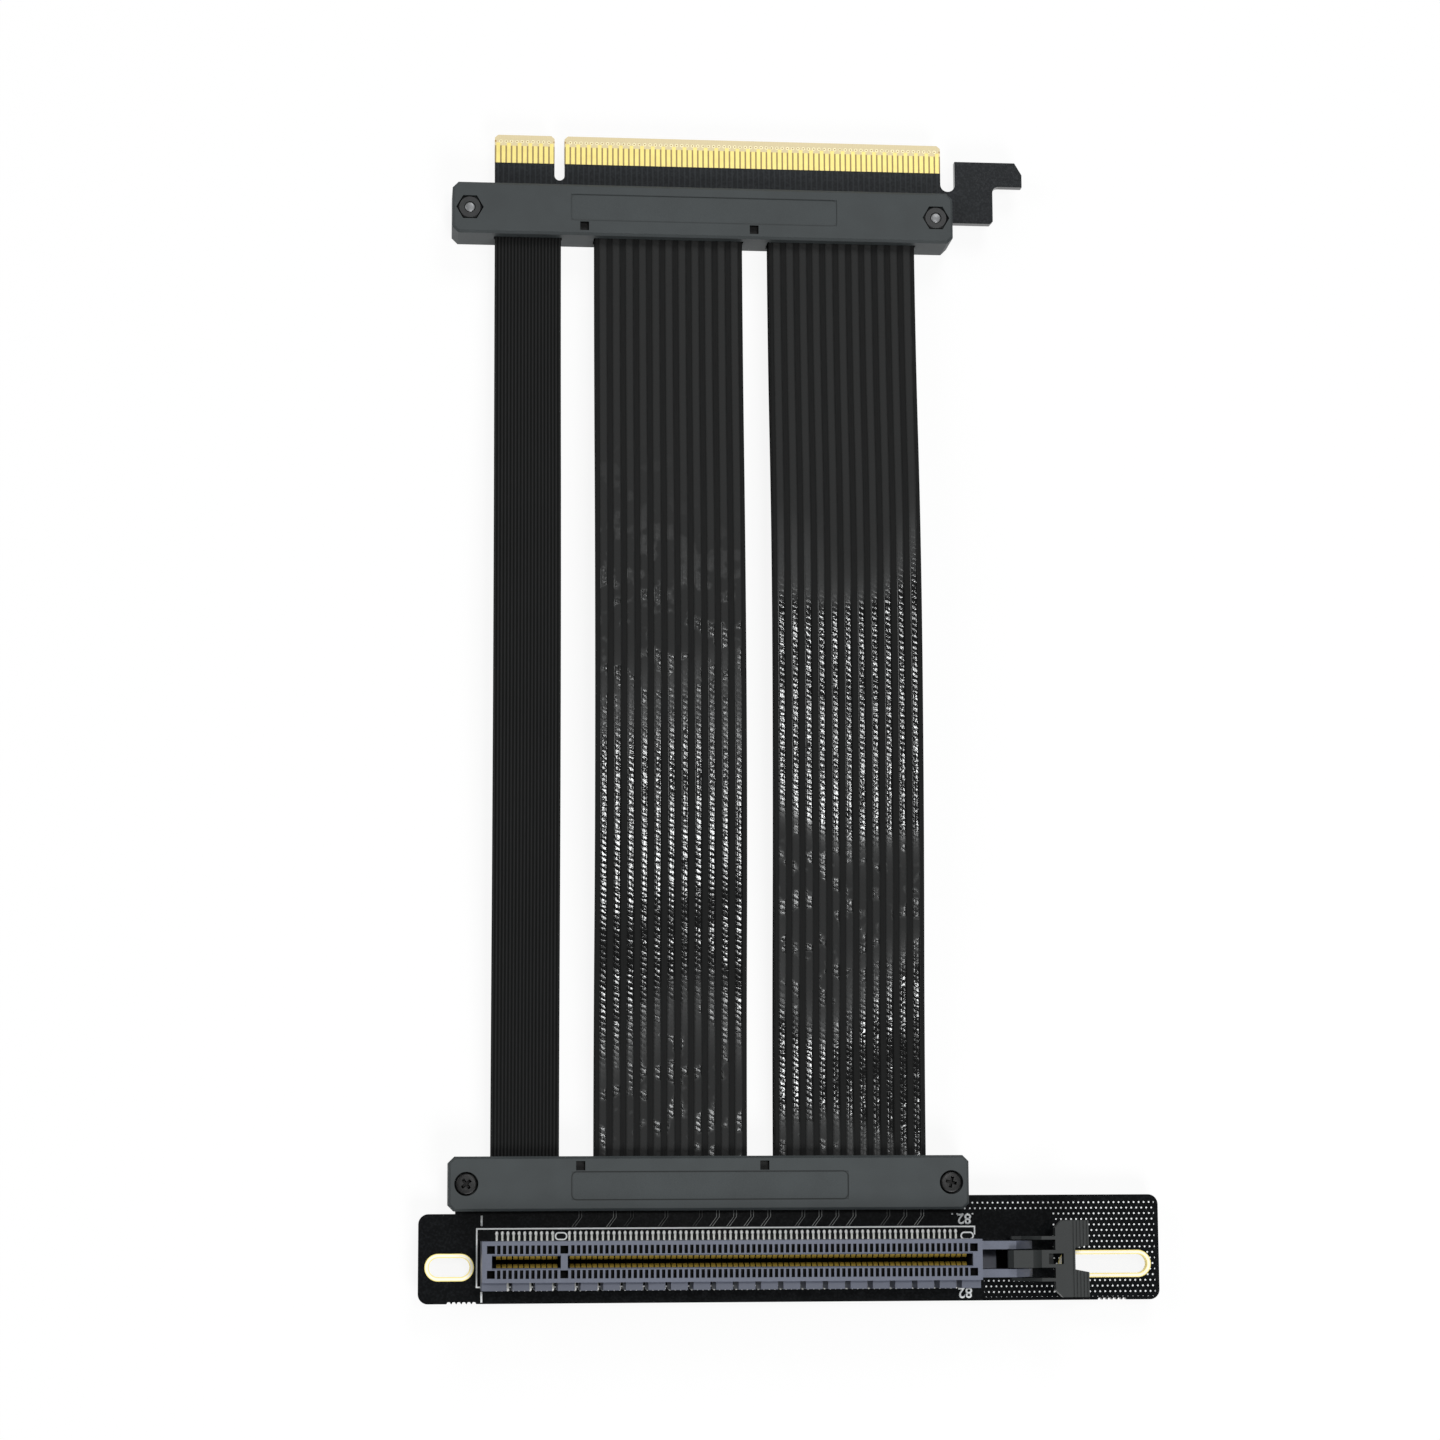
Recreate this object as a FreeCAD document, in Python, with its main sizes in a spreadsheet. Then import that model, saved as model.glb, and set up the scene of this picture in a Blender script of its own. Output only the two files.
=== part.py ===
import FreeCAD, Part
import math
import os
import re

import Sketcher

# Riser cable for a graphics card: a card-edge plug and a card slot, each on its own board between
# two screwed covers, joined by flat ribbon cables.
#
# X runs along the card slot, Y from the socket end to the plug end, Z up. The part lies on its two back
# covers, with the origin on that surface under the middle of the whole part. Each end is drawn in a frame
# of its own on the top face of its board: the socket's starts at the middle of the card slot, the plug's
# at the middle of the tongue's tip.

SIZES = (
    # Boards and covers of both ends
    ("board_thickness", "1.6", "both circuit boards"),
    ("board_fit", "0.15", "room between a board's edge and its covers"),
    ("cover_length", "93.8", "clamshell along X"),
    ("cover_width", "9.7", "clamshell along Y"),
    ("cover_height", "4.4", "one half of the clamshell, from the middle of the board"),
    ("cover_wall", "1.2", "end and side walls round the board"),
    ("cover_corner", "1.1", "chamfer at the plan corners"),
    ("cover_edge", "0.45", "chamfer round the outer face"),
    ("board_inset", "3", "board's inner edge from the cable-side face"),
    ("ribbon_lap", "3", "ribbon that lies on the board"),
    ("window_side", "1.65", "square window in a front cover"),
    ("window_depth", "1.2", "depth of a square window"),
    ("window_inset", "1.7", "middle of a window from the cable-side face"),
    ("panel_length", "49.8", "shallow label recess"),
    ("panel_width", "5", "shallow label recess"),
    ("panel_depth", "0.2", "shallow label recess"),
    ("panel_shift", "0.4", "label recess from the cover's middle towards the board"),
    # Fasteners
    ("screw_inset", "3.22", "screw from the end of a clamshell"),
    ("screw_radius", "1", "screw shank"),
    ("screw_fit", "0.2", "room round the shank in covers and board"),
    ("head_radius", "1.95", "screw head"),
    ("head_height", "1.2", "screw head"),
    ("head_fit", "0.2", "room round the head in its recess"),
    ("head_sink", "0.25", "head below the cover's face"),
    ("nut_flats", "4", "nut across its flats"),
    ("nut_height", "1.5", "nut"),
    ("nut_fit", "0.2", "room between a nut's flat and its pocket"),
    ("nut_sink", "0.1", "nut below the cover's face"),
    ("thread_gap", "0.04", "between the shank and the nut's bore"),
    # Socket board
    ("ledge_left", "6.55", "board past its neck on the left"),
    ("ledge_right", "36.7", "board past its neck on the right"),
    ("board_front", "7.5", "board in front of the slot's middle"),
    ("shoulder_left", "8.4", "left shoulder of the board behind the slot's middle"),
    ("shoulder_right", "11.4", "right shoulder of the board behind the slot's middle"),
    ("board_corner", "1.8", "rounded corners of the socket board"),
    ("socket_cover_x", "-3.4", "cover's middle from the slot's middle"),
    ("socket_front", "8.85", "cover's board-side face from the slot's middle"),
    ("socket_window_left", "23.3", "left window from the cover's middle"),
    ("socket_window_right", "9.8", "right window from the cover's middle"),
    ("mount_y", "-1.05", "mounting slots from the slot's middle"),
    ("mount_radius", "1.75", "round ends of the mounting slots"),
    ("mount_left_edge", "1.85", "left mounting slot from the board's end"),
    ("mount_left_length", "7.4", "left mounting slot, end to end"),
    ("mount_right_edge", "2.2", "right mounting slot from the board's end"),
    ("mount_right_length", "15.7", "right mounting slot, end to end"),
    ("bite_radius", "0.35", "six-sided scallop left where the board was broken out"),
    ("bite_pitch", "0.9", "between scallops"),
    ("bite_left", "5.5", "first scallop from the board's left end"),
    ("bite_right", "11.05", "first scallop of the other row from the board's right end"),
    # Card slot
    ("pin_pitch", "1", "between neighbouring contacts"),
    ("key_gap", "3", "between the contacts on each side of the key"),
    ("end_wall", "1.725", "moulded body past the opening for the card's edge"),
    ("slot_width", "7.2", "moulded body"),
    ("slot_height", "11.25", "body's top above the board"),
    ("slot_seat", "0.3", "body's underside above the board"),
    ("seat_length", "1.4", "seating foot at each end of the body"),
    ("mouth_end", "1.2", "opening for the card's edge past the end contacts"),
    ("mouth_width", "2.08", "opening for the card's edge"),
    ("mouth_lead", "0.2", "lead-in chamfer of the opening"),
    ("mouth_floor", "2.65", "floor of the opening above the board"),
    ("key_width", "1.2", "key across the opening"),
    ("roof_thickness", "1.4", "top plate over the contacts"),
    ("chamber_reach", "2.9", "contact room on each side of the slot's middle"),
    ("chamber_end", "0.45", "contact room past its end contacts"),
    ("channel_reach", "1.75", "inner side of the floor channel that the contacts pass"),
    ("opening_length", "0.6", "opening over one contact along X"),
    ("opening_depth", "1", "opening over one contact"),
    ("opening_inner", "1.4", "inner side of the openings from the slot's middle"),
    ("end_square", "1.4", "square pockets at the ends and the key"),
    ("square_depth", "2", "square pockets"),
    ("end_square_gap", "1.37", "square pockets at the ends from the end contacts"),
    ("skirt_reach", "5.05", "front skirt from the slot's middle"),
    ("skirt_top", "9", "front skirt's top above the board"),
    ("skirt_bottom", "0.6", "front skirt's underside above the board"),
    ("notch_width", "1", "notches in the front skirt"),
    ("peg_radius", "0.8", "locating pegs under the body"),
    ("peg_fit", "0.1", "room round a peg in the board"),
    ("peg_inset", "8.425", "right locating peg from the body's end"),
    # Spring contacts of the card slot
    ("contact_width", "0.4", "spring contact along X"),
    ("contact_gauge", "0.2", "sheet of a spring contact"),
    ("foot_reach", "5.25", "solder foot's end from the slot's middle"),
    ("heel_reach", "2.55", "contact's heel from the slot's middle"),
    ("bulge_reach", "0.35", "contact's bulge from the slot's middle, with no card in"),
    ("bulge_height", "8", "contact's bulge above the board"),
    ("tip_reach", "1.7", "contact's tip from the slot's middle"),
    ("tip_height", "9.6", "contact's tip above the board"),
    # Card latch and its bracket
    ("cheek_inner", "1.75", "bracket cheeks from the slot's middle"),
    ("cheek_outer", "3.2", "bracket cheeks from the slot's middle"),
    ("cheek_reach", "10.075", "bracket's end from the body's end"),
    ("cheek_top", "9.6", "bracket's top above the board"),
    ("cheek_level", "6.375", "level part of the bracket's top"),
    ("cheek_nose", "5.2", "height of the bracket's end"),
    ("bracket_floor", "1.5", "web between the cheeks above the board"),
    ("web_reach", "4.175", "length of that web"),
    ("pivot_reach", "8.175", "latch pivot from the body's end"),
    ("pivot_height", "3.2", "latch pivot above the board"),
    ("pivot_radius", "0.9", "latch pin"),
    ("pivot_fit", "0.06", "room round the latch pin"),
    ("latch_fit", "0.2", "room between the latch and the cheeks"),
    ("rail_thickness", "0.6", "latch side rails"),
    ("rail_eye", "1.6", "round end of a side rail"),
    ("pin_stop", "0.35", "latch pin's end short of the cheek's inner face"),
    ("nose_reach", "3.3", "latch hook's nose from the pivot"),
    ("hook_top", "11", "latch hook's top above the board"),
    ("hook_back", "3", "back of the latch hook from the pivot"),
    ("hook_root", "1", "latch hook's underside below the pivot"),
    ("crown_slope", "2", "slope behind the hook's top"),
    ("nose_slope", "0.8", "slope over the hook's nose"),
    ("nose_drop", "1.2", "nose below the hook's top"),
    ("nose_face", "0.8", "upright face of the nose"),
    ("nose_depth", "3.4", "throat under the nose below the hook's top"),
    ("rail_drop", "0.6", "rails below the grip's underside"),
    ("grip_gap", "5.5", "latch grip from the pivot"),
    ("grip_length", "6.1", "latch grip along X"),
    ("grip_half", "6.8", "half the latch grip along Y"),
    ("grip_top", "8.6", "latch grip's top above the board"),
    ("grip_thickness", "2", "latch grip"),
    ("grip_corner", "1.3", "chamfer at the grip's inner corners"),
    ("grip_notch", "2.5", "depth of the hollow in the grip's outer edge"),
    ("grip_notch_half", "1.9", "half the width of that hollow"),
    ("grip_notch_slant", "0.5", "slant of that hollow's sides"),
    ("groove_width", "0.3", "finger grooves in the grip"),
    ("groove_pitch", "0.62", "finger grooves in the grip"),
    ("groove_depth", "0.25", "finger grooves in the grip"),
    ("eye_gap", "1.2", "small window before the grip"),
    ("eye_length", "2.7", "small window before the grip"),
    ("eye_half", "0.95", "half the width of that window"),
    # Plug board
    ("plug_reach", "208.5", "tongue's tip from the slot's middle"),
    ("plug_shift", "-0.69", "plug's sideways set in the flexible cable"),
    ("plug_cover_x", "-3.1", "cover's middle from the tongue's middle"),
    ("plug_front", "-10.35", "cover's board-side face from the tongue's tip"),
    ("plug_window_left", "22.4", "left window from the cover's middle"),
    ("plug_window_right", "9.3", "right window from the cover's middle"),
    ("tongue_end", "0.6", "tongue past the end contacts"),
    ("tongue_corner", "0.6", "cut corners of the tongue's tip"),
    ("tip_bevel", "1.3", "bevelled length of the tongue's tip"),
    ("tip_drop", "0.3", "bevelled depth of each face"),
    ("key_notch_width", "1.9", "key notch in the tongue"),
    ("key_notch_depth", "8.65", "key notch in the tongue"),
    ("yoke_width", "2.75", "notch between the tongue and the hook"),
    ("yoke_depth", "9", "notch between the tongue and the hook"),
    ("hook_tip", "-3.1", "retention hook's tip from the tongue's tip"),
    ("hook_heel", "-7.8", "underside of the hook's foot"),
    ("hook_base", "-15.1", "lower end of the hook's stem"),
    ("hook_foot", "5.65", "hook's foot past its stem"),
    ("hook_cut_x", "1.35", "chamfer on the hook's foot"),
    ("hook_cut_y", "2.3", "chamfer on the hook's foot"),
    ("hook_stem", "7.2", "hook's stem along X"),
    ("stem_cut", "0.5", "chamfer at the stem's lower end"),
    ("stem_fillet", "1.2", "inner corner under the hook's foot"),
    ("finger_width", "0.7", "gilt finger"),
    ("finger_base", "-5.46", "inner end of the fingers from the tongue's tip"),
    ("finger_long", "3.85", "long fingers"),
    ("finger_short", "3.3", "short fingers between them"),
    ("finger_thickness", "0.05", "gilt finger"),
    # Ribbon cables
    ("ribbon_fit", "0.12", "room round a ribbon in its covers"),
    ("sideband_margin", "4.255", "between the left screw and the narrow ribbon"),
    ("sideband_width", "12.45", "narrow ribbon"),
    ("sideband_thickness", "0.9", "narrow ribbon"),
    ("sideband_gap", "6.175", "between the narrow ribbon and the wide ones"),
    ("lanes_gap", "4.8", "between the wide ribbons"),
    ("lanes_margin", "4.08", "between the wide ribbons and the right screw"),
    ("lanes_thickness", "1.2", "wide ribbon"),
    ("layer_rise", "1.1", "how far the lower layer comes up under the upper one"),
)

SHORT_ROW = 11
LONG_ROW = 71
BITES = 6
NOTCHES = 21
NOTCH_STEP = 4
GROOVES = 5

# Places that follow from the sizes
RULES = {
    "board_top": "cover_height + board_thickness / 2",
    "slot_x": "(board_left - board_right) / 2",
    "slot_y": "(board_front - plug_reach) / 2",
    "plug_x": "slot_x + plug_shift",
    "plug_y": "slot_y + plug_reach",
    # Contacts are counted from the middle of the whole row
    "row_length": "(short_row + long_row - 2) * pin_pitch + key_gap",
    "first_pin": "-row_length / 2",
    "key_x": "first_pin + (short_row - 1) * pin_pitch + key_gap / 2",
    "second_pin": "key_x + key_gap / 2",
    # Boards, covers and their fasteners
    "socket_cover_y": "socket_front + cover_width / 2",
    "socket_neck_left": "socket_cover_x - cover_length / 2 + cover_wall + board_fit",
    "socket_neck_right": "socket_cover_x + cover_length / 2 - cover_wall - board_fit",
    "socket_inner": "socket_cover_y + cover_width / 2 - board_inset",
    "board_left": "ledge_left - socket_neck_left",
    "board_right": "socket_neck_right + ledge_right",
    "mount_left_x": "mount_left_edge + mount_left_length / 2 - board_left",
    "mount_right_x": "board_right - mount_right_edge - mount_right_length / 2",
    "bite_left_x": "bite_left - board_left",
    "bite_right_x": "board_right - bite_right",
    "plug_cover_y": "plug_front - cover_width / 2",
    "plug_neck_left": "plug_cover_x - cover_length / 2 + cover_wall + board_fit",
    "plug_neck_right": "plug_cover_x + cover_length / 2 - cover_wall - board_fit",
    "plug_inner": "plug_cover_y - cover_width / 2 + board_inset",
    "plug_step": "plug_front - cover_wall - board_fit",
    "tongue_half": "row_length / 2 + tongue_end",
    "stem_right": "tongue_half + yoke_width + hook_stem",
    "hook_reach": "stem_right + hook_foot",
    "screw_spacing": "cover_length - 2 * screw_inset",
    "shaft_radius": "screw_radius + screw_fit",
    "head_room": "head_radius + head_fit",
    "nut_room": "nut_flats + 2 * nut_fit",
    # Card slot and latch
    "mouth_length": "row_length + 2 * mouth_end",
    "slot_length": "mouth_length + 2 * end_wall",
    "slot_end": "slot_length / 2",
    "roof_under": "slot_height - roof_thickness",
    "end_square_x": "row_length / 2 + end_square_gap",
    "notch_pitch": "notch_step * pin_pitch",
    "notch_first": "first_pin + notch_pitch / 2",
    "peg_right_x": "slot_end - peg_inset",
    "cheek_end": "slot_end + cheek_reach",
    "cheek_step": "slot_end + cheek_level",
    "web_end": "slot_end + web_reach",
    "pivot_x": "slot_end + pivot_reach",
    "pivot_hole": "pivot_radius + pivot_fit",
    "rail_inner": "cheek_outer + latch_fit",
    "hook_left": "pivot_x - nose_reach",
    "hook_right": "pivot_x + hook_back",
    "grip_left": "pivot_x + grip_gap",
    "grip_right": "grip_left + grip_length",
    "grip_under": "grip_top - grip_thickness",
    "eye_left": "grip_left - eye_gap",
    "eye_right": "eye_left + eye_length",
    # Ribbons share the length between the two screws
    "first_screw": "socket_cover_x - screw_spacing / 2",
    "sideband_x": "first_screw + sideband_margin + sideband_width / 2",
    "sideband_room": "sideband_margin + sideband_width + sideband_gap",
    "lanes_width": "(screw_spacing - sideband_room - lanes_gap - lanes_margin) / 2",
    "lanes_left_x": "first_screw + sideband_room + lanes_width / 2",
    "lanes_right_x": "lanes_left_x + lanes_width + lanes_gap",
}
COUNTS = {"short_row": SHORT_ROW, "long_row": LONG_ROW, "notch_step": NOTCH_STEP}

SOCKET_FRAME = ("slot_x", "slot_y", "board_top")
PLUG_FRAME = ("plug_x", "plug_y", "board_top")
FRAMES = {"socket": SOCKET_FRAME, "plug": PLUG_FRAME}
CABLE_SIDE = {"socket": 1, "plug": -1}
PAST = 2

# Each ribbon's route: share of the way from the socket's cover to the plug's, and rise in mm
SIDEBAND_ROUTE = ((0.1, 0.0), (0.36, 3.0), (0.64, 3.2), (0.9, 0.0))
LEFT_ROUTE = ((0.1, 0.0), (0.35, 4.0), (0.63, 3.6), (0.9, 0.0))
RIGHT_ROUTE = ((0.1, 0.0), (0.37, 3.4), (0.66, 4.2), (0.9, 0.0))
ARC_SHARE = 0.45

doc = FreeCAD.newDocument("riser_cable")
dims = doc.addObject("Spreadsheet::Sheet", "dims")
for row, (alias, size, meaning) in enumerate(SIZES, 1):
    dims.set(f"A{row}", alias)
    dims.set(f"B{row}", size)
    dims.setAlias(f"B{row}", alias)
    dims.set(f"C{row}", meaning)
doc.recompute()

NAMES = {alias for alias, size, meaning in SIZES}
PARTS = []


def sized(expression):
    """An expression on sizes and rules, written out with references to the sheet."""

    def spell(match):
        word = match.group()
        if word in RULES:
            return f"({sized(RULES[word])})"
        if word in COUNTS:
            return str(COUNTS[word])
        return f"dims.{word}" if word in NAMES else word

    return re.sub(r"[a-z_]+[a-z_0-9]*", spell, str(expression))


def number(expression):
    """The present value of an expression, in mm."""
    return float(dims.evalExpression(sized(expression)))


def new_body(label, place):
    body = doc.addObject("PartDesign::Body", label)
    body.Label = label
    for axis, expression in zip("xyz", place):
        body.setExpression(f"Placement.Base.{axis}", sized(expression))
    PARTS.append(body)
    return body


def origin_feature(body, role):
    return next(feature for feature in body.Origin.OriginFeatures if feature.Role == role)


def new_sketch(body, plane="XY_Plane", lift="0"):
    """A sketch on one of the body's own planes, lifted along that plane's normal."""
    sketch = body.newObject("Sketcher::SketchObject", f"{body.Name}_sketch")
    sketch.AttachmentSupport = (origin_feature(body, plane), [""])
    sketch.MapMode = "FlatFace"
    sketch.setExpression("AttachmentOffset.Base.z", sized(lift))
    return sketch


def drive(sketch, constraint, expression):
    index = sketch.addConstraint(constraint)
    sketch.setExpression(f"Constraints[{index}]", sized(expression))


def fix_point(sketch, edge, end, point):
    x, y = point
    drive(sketch, Sketcher.Constraint("DistanceX", -1, 1, edge, end, number(x)), x)
    drive(sketch, Sketcher.Constraint("DistanceY", -1, 1, edge, end, number(y)), y)


def vector(point):
    return FreeCAD.Vector(number(point[0]), number(point[1]), 0)


def polygon(sketch, points):
    """Straight edges round a list of corners, each corner a pair of expressions."""
    first = sketch.GeometryCount
    count = len(points)
    for start, end in zip(points, points[1:] + points[:1]):
        sketch.addGeometry(Part.LineSegment(vector(start), vector(end)))
    for step in range(count):
        following = first + (step + 1) % count
        sketch.addConstraint(Sketcher.Constraint("Coincident", first + step, 2, following, 1))
    for step, point in enumerate(points):
        fix_point(sketch, first + step, 1, point)
    return sketch


def rectangle(sketch, left, right, low, high):
    return polygon(sketch, [(left, low), (right, low), (right, high), (left, high)])


def circle(sketch, x, y, radius):
    middle = vector((x, y))
    edge = sketch.addGeometry(Part.Circle(middle, FreeCAD.Vector(0, 0, 1), number(radius)))
    drive(sketch, Sketcher.Constraint("Radius", edge, number(radius)), radius)
    fix_point(sketch, edge, 3, (x, y))
    return sketch


def hexagon(sketch, x, y, flats):
    """A hexagon with two points along X."""
    point, half = f"{flats} / sqrt(3)", f"{flats} / 2"
    shoulder = f"{flats} / (2 * sqrt(3))"
    corners = [
        (f"{x} + {point}", y),
        (f"{x} + {shoulder}", f"{y} + {half}"),
        (f"{x} - {shoulder}", f"{y} + {half}"),
        (f"{x} - {point}", y),
        (f"{x} - {shoulder}", f"{y} - {half}"),
        (f"{x} + {shoulder}", f"{y} - {half}"),
    ]
    return polygon(sketch, corners)


def octagon(sketch, x, y, radius):
    """Eight flats at the given radius: the plain form of hidden shanks, pegs and their holes."""
    half = f"({radius}) * tan(22.5 deg)"
    corners = [
        (f"{x} + {radius}", f"{y} - {half}"),
        (f"{x} + {radius}", f"{y} + {half}"),
        (f"{x} + {half}", f"{y} + {radius}"),
        (f"{x} - {half}", f"{y} + {radius}"),
        (f"{x} - ({radius})", f"{y} + {half}"),
        (f"{x} - ({radius})", f"{y} - {half}"),
        (f"{x} - {half}", f"{y} - ({radius})"),
        (f"{x} + {half}", f"{y} - ({radius})"),
    ]
    return polygon(sketch, corners)


def obround(sketch, start, end, radius):
    """A straight slot between two arc centres that lie on a line along X or Y."""
    a, b = vector(start), vector(end)
    r = number(radius)
    turn = math.atan2(b.y - a.y, b.x - a.x)
    side = FreeCAD.Vector(-math.sin(turn), math.cos(turn), 0) * r
    up = FreeCAD.Vector(0, 0, 1)
    quarter = math.pi / 2
    far_circle, near_circle = Part.Circle(b, up, r), Part.Circle(a, up, r)
    far = sketch.addGeometry(Part.ArcOfCircle(far_circle, turn - quarter, turn + quarter))
    top = sketch.addGeometry(Part.LineSegment(b + side, a + side))
    near = sketch.addGeometry(Part.ArcOfCircle(near_circle, turn + quarter, turn + 3 * quarter))
    low = sketch.addGeometry(Part.LineSegment(a - side, b - side))
    for one, other in ((far, top), (top, near), (near, low), (low, far)):
        sketch.addConstraint(Sketcher.Constraint("Tangent", one, 2, other, 1))
    drive(sketch, Sketcher.Constraint("Radius", far, r), radius)
    fix_point(sketch, far, 3, end)
    fix_point(sketch, near, 3, start)
    return sketch


def pad(body, sketch, length, reverse=False, both_ways=False):
    feature = body.newObject("PartDesign::Pad", f"{body.Name}_pad")
    feature.Profile = sketch
    feature.setExpression("Length", sized(length))
    feature.Reversed = reverse
    if both_ways:
        feature.SideType = "Symmetric"
    doc.recompute()
    return feature


def pocket(body, sketch, length, reverse=False, both_ways=False):
    """A cut along the sketch's normal, or against it where reverse is set; it has to remove something."""
    before = body.Shape.Volume
    feature = body.newObject("PartDesign::Pocket", f"{body.Name}_pocket")
    feature.Profile = sketch
    feature.setExpression("Length", sized(length))
    feature.Reversed = not reverse
    if both_ways:
        feature.SideType = "Symmetric"
    doc.recompute()
    if body.Shape.Volume >= before:
        raise ValueError(f"{feature.Name} cuts nothing")
    return feature


def repeat(body, feature, count, pitch, axis="X_Axis"):
    """Copies of one feature in a straight row."""
    pattern = body.newObject("PartDesign::LinearPattern", f"{body.Name}_row")
    pattern.Originals = [feature]
    pattern.Direction = (origin_feature(body, axis), [""])
    pattern.Occurrences = count
    pattern.setExpression("Length", sized(f"({pitch}) * {count - 1}"))
    body.Tip = pattern
    doc.recompute()
    return pattern


def mirror(body, features, plane="XZ_Plane"):
    copy = body.newObject("PartDesign::Mirrored", f"{body.Name}_mirror")
    copy.Originals = features
    copy.MirrorPlane = (origin_feature(body, plane), [""])
    body.Tip = copy
    doc.recompute()
    return copy


def upright_edges(feature, spots):
    """Names of the edges that stand on the given plan points."""
    wanted = [(number(x), number(y)) for x, y in spots]
    found = []
    for index, edge in enumerate(feature.Shape.Edges, 1):
        ends = [vertex.Point for vertex in edge.Vertexes]
        if len(ends) != 2 or abs(ends[0].z - ends[1].z) < 1e-6:
            continue
        if any(math.dist(end[:2], spot) < 1e-5 for end in ends[:1] for spot in wanted):
            found.append(f"Edge{index}")
    return found


def level_edges(feature, height):
    """Names of the edges that lie at one height."""
    level = number(height)
    return [
        f"Edge{index}"
        for index, edge in enumerate(feature.Shape.Edges, 1)
        if all(abs(vertex.Point.z - level) < 1e-6 for vertex in edge.Vertexes)
    ]


def finish_edges(body, kind, feature, edges, size):
    """A Fillet or Chamfer on the named edges of a feature."""
    if not edges:
        raise ValueError(f"{body.Label} has no edge for its {kind}")
    finish = body.newObject(f"PartDesign::{kind}", f"{body.Name}_{kind.lower()}")
    finish.Base = (feature, edges)
    finish.setExpression("Radius" if kind == "Fillet" else "Size", sized(size))
    doc.recompute()
    return finish


def screw_places(end):
    middle = f"{end}_cover_x"
    return [f"{middle} - screw_spacing / 2", f"{middle} + screw_spacing / 2"]


def board_holes(body, end, extra=()):
    """Screw holes, and any other round holes, through a board."""
    sketch = new_sketch(body)
    for x in screw_places(end):
        octagon(sketch, x, f"{end}_cover_y", "shaft_radius")
    for x, y, radius in extra:
        octagon(sketch, x, y, radius)
    pocket(body, sketch, "board_thickness", reverse=True)


# Socket board


def mount_ends(side):
    reach = f"(mount_{side}_length / 2 - mount_radius)"
    return (f"mount_{side}_x - {reach}", "mount_y"), (f"mount_{side}_x + {reach}", "mount_y")


def make_socket_board():
    body = new_body("socket_board", SOCKET_FRAME)
    corners = [
        ("-board_left", "-board_front"),
        ("board_right", "-board_front"),
        ("board_right", "shoulder_right"),
        ("-board_left", "shoulder_left"),
    ]
    outline = corners[:3] + [
        ("socket_neck_right", "shoulder_right"),
        ("socket_neck_right", "socket_inner"),
        ("socket_neck_left", "socket_inner"),
        ("socket_neck_left", "shoulder_left"),
        corners[3],
    ]
    plate = pad(body, polygon(new_sketch(body), outline), "board_thickness", reverse=True)
    finish_edges(body, "Fillet", plate, upright_edges(plate, corners), "board_corner")
    pegs = [(x, "0", "peg_radius + peg_fit") for x in ("key_x", "peg_right_x")]
    board_holes(body, "socket", pegs)
    slots = new_sketch(body)
    for side in ("left", "right"):
        obround(slots, *mount_ends(side), "mount_radius")
    pocket(body, slots, "board_thickness", reverse=True)
    for side in ("left", "right"):
        scallop = hexagon(new_sketch(body), f"bite_{side}_x", "-board_front", "2 * bite_radius")
        repeat(body, pocket(body, scallop, "board_thickness", reverse=True), BITES, "bite_pitch")


# Card slot, its contacts and its latch


def make_card_slot_body():
    body = new_body("card_slot_body", SOCKET_FRAME)
    half_length, half_width = "slot_end", "slot_width / 2"
    block = new_sketch(body, lift="slot_seat")
    rectangle(block, f"-{half_length}", half_length, f"-{half_width}", half_width)
    pad(body, block, "slot_height - slot_seat")
    skirt = new_sketch(body, lift="skirt_bottom")
    rectangle(skirt, f"-{half_length}", half_length, "-skirt_reach", f"-{half_width}")
    pad(body, skirt, "skirt_top - skirt_bottom")
    notch = new_sketch(body, lift="skirt_bottom")
    left, right = "notch_first - notch_width / 2", "notch_first + notch_width / 2"
    rectangle(notch, left, right, f"-skirt_reach - {PAST}", f"-{half_width}")
    repeat(body, pocket(body, notch, "skirt_top - skirt_bottom"), NOTCHES, "notch_pitch")
    make_bracket(body, half_length)
    feet = new_sketch(body, lift="slot_seat")
    rectangle(feet, f"-{half_length}", f"seat_length - {half_length}", f"-{half_width}", half_width)
    rectangle(feet, f"{half_length} - seat_length", half_length, f"-{half_width}", half_width)
    pad(body, feet, "slot_seat", reverse=True)
    pegs = new_sketch(body, lift="slot_seat")
    for x in ("key_x", "peg_right_x"):
        octagon(pegs, x, "0", "peg_radius")
    pad(body, pegs, "slot_seat + board_thickness", reverse=True)
    cut_card_mouth(body)
    cut_contact_rooms(body)
    squares = new_sketch(body, lift="slot_height")
    row_middle = "(opening_inner + chamber_reach) / 2"
    for x in ("-end_square_x", "key_x", "end_square_x"):
        for y in (row_middle, f"-{row_middle}"):
            left, right = f"{x} - end_square / 2", f"{x} + end_square / 2"
            rectangle(squares, left, right, f"{y} - end_square / 2", f"{y} + end_square / 2")
    pocket(body, squares, "square_depth", reverse=True)


def make_bracket(body, start):
    """Two cheeks past the end of the slot that carry the latch pins, with a web between them."""
    side = [
        (start, "0"),
        ("cheek_end", "0"),
        ("cheek_end", "cheek_nose"),
        ("cheek_step", "cheek_top"),
        (start, "cheek_top"),
    ]
    cheek = polygon(new_sketch(body, "XZ_Plane", "cheek_inner"), side)
    circle(cheek, "pivot_x", "pivot_height", "pivot_hole")
    mirror(body, [pad(body, cheek, "cheek_outer - cheek_inner")])
    web = rectangle(new_sketch(body), start, "web_end", "-cheek_inner", "cheek_inner")
    pad(body, web, "bracket_floor")


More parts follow.
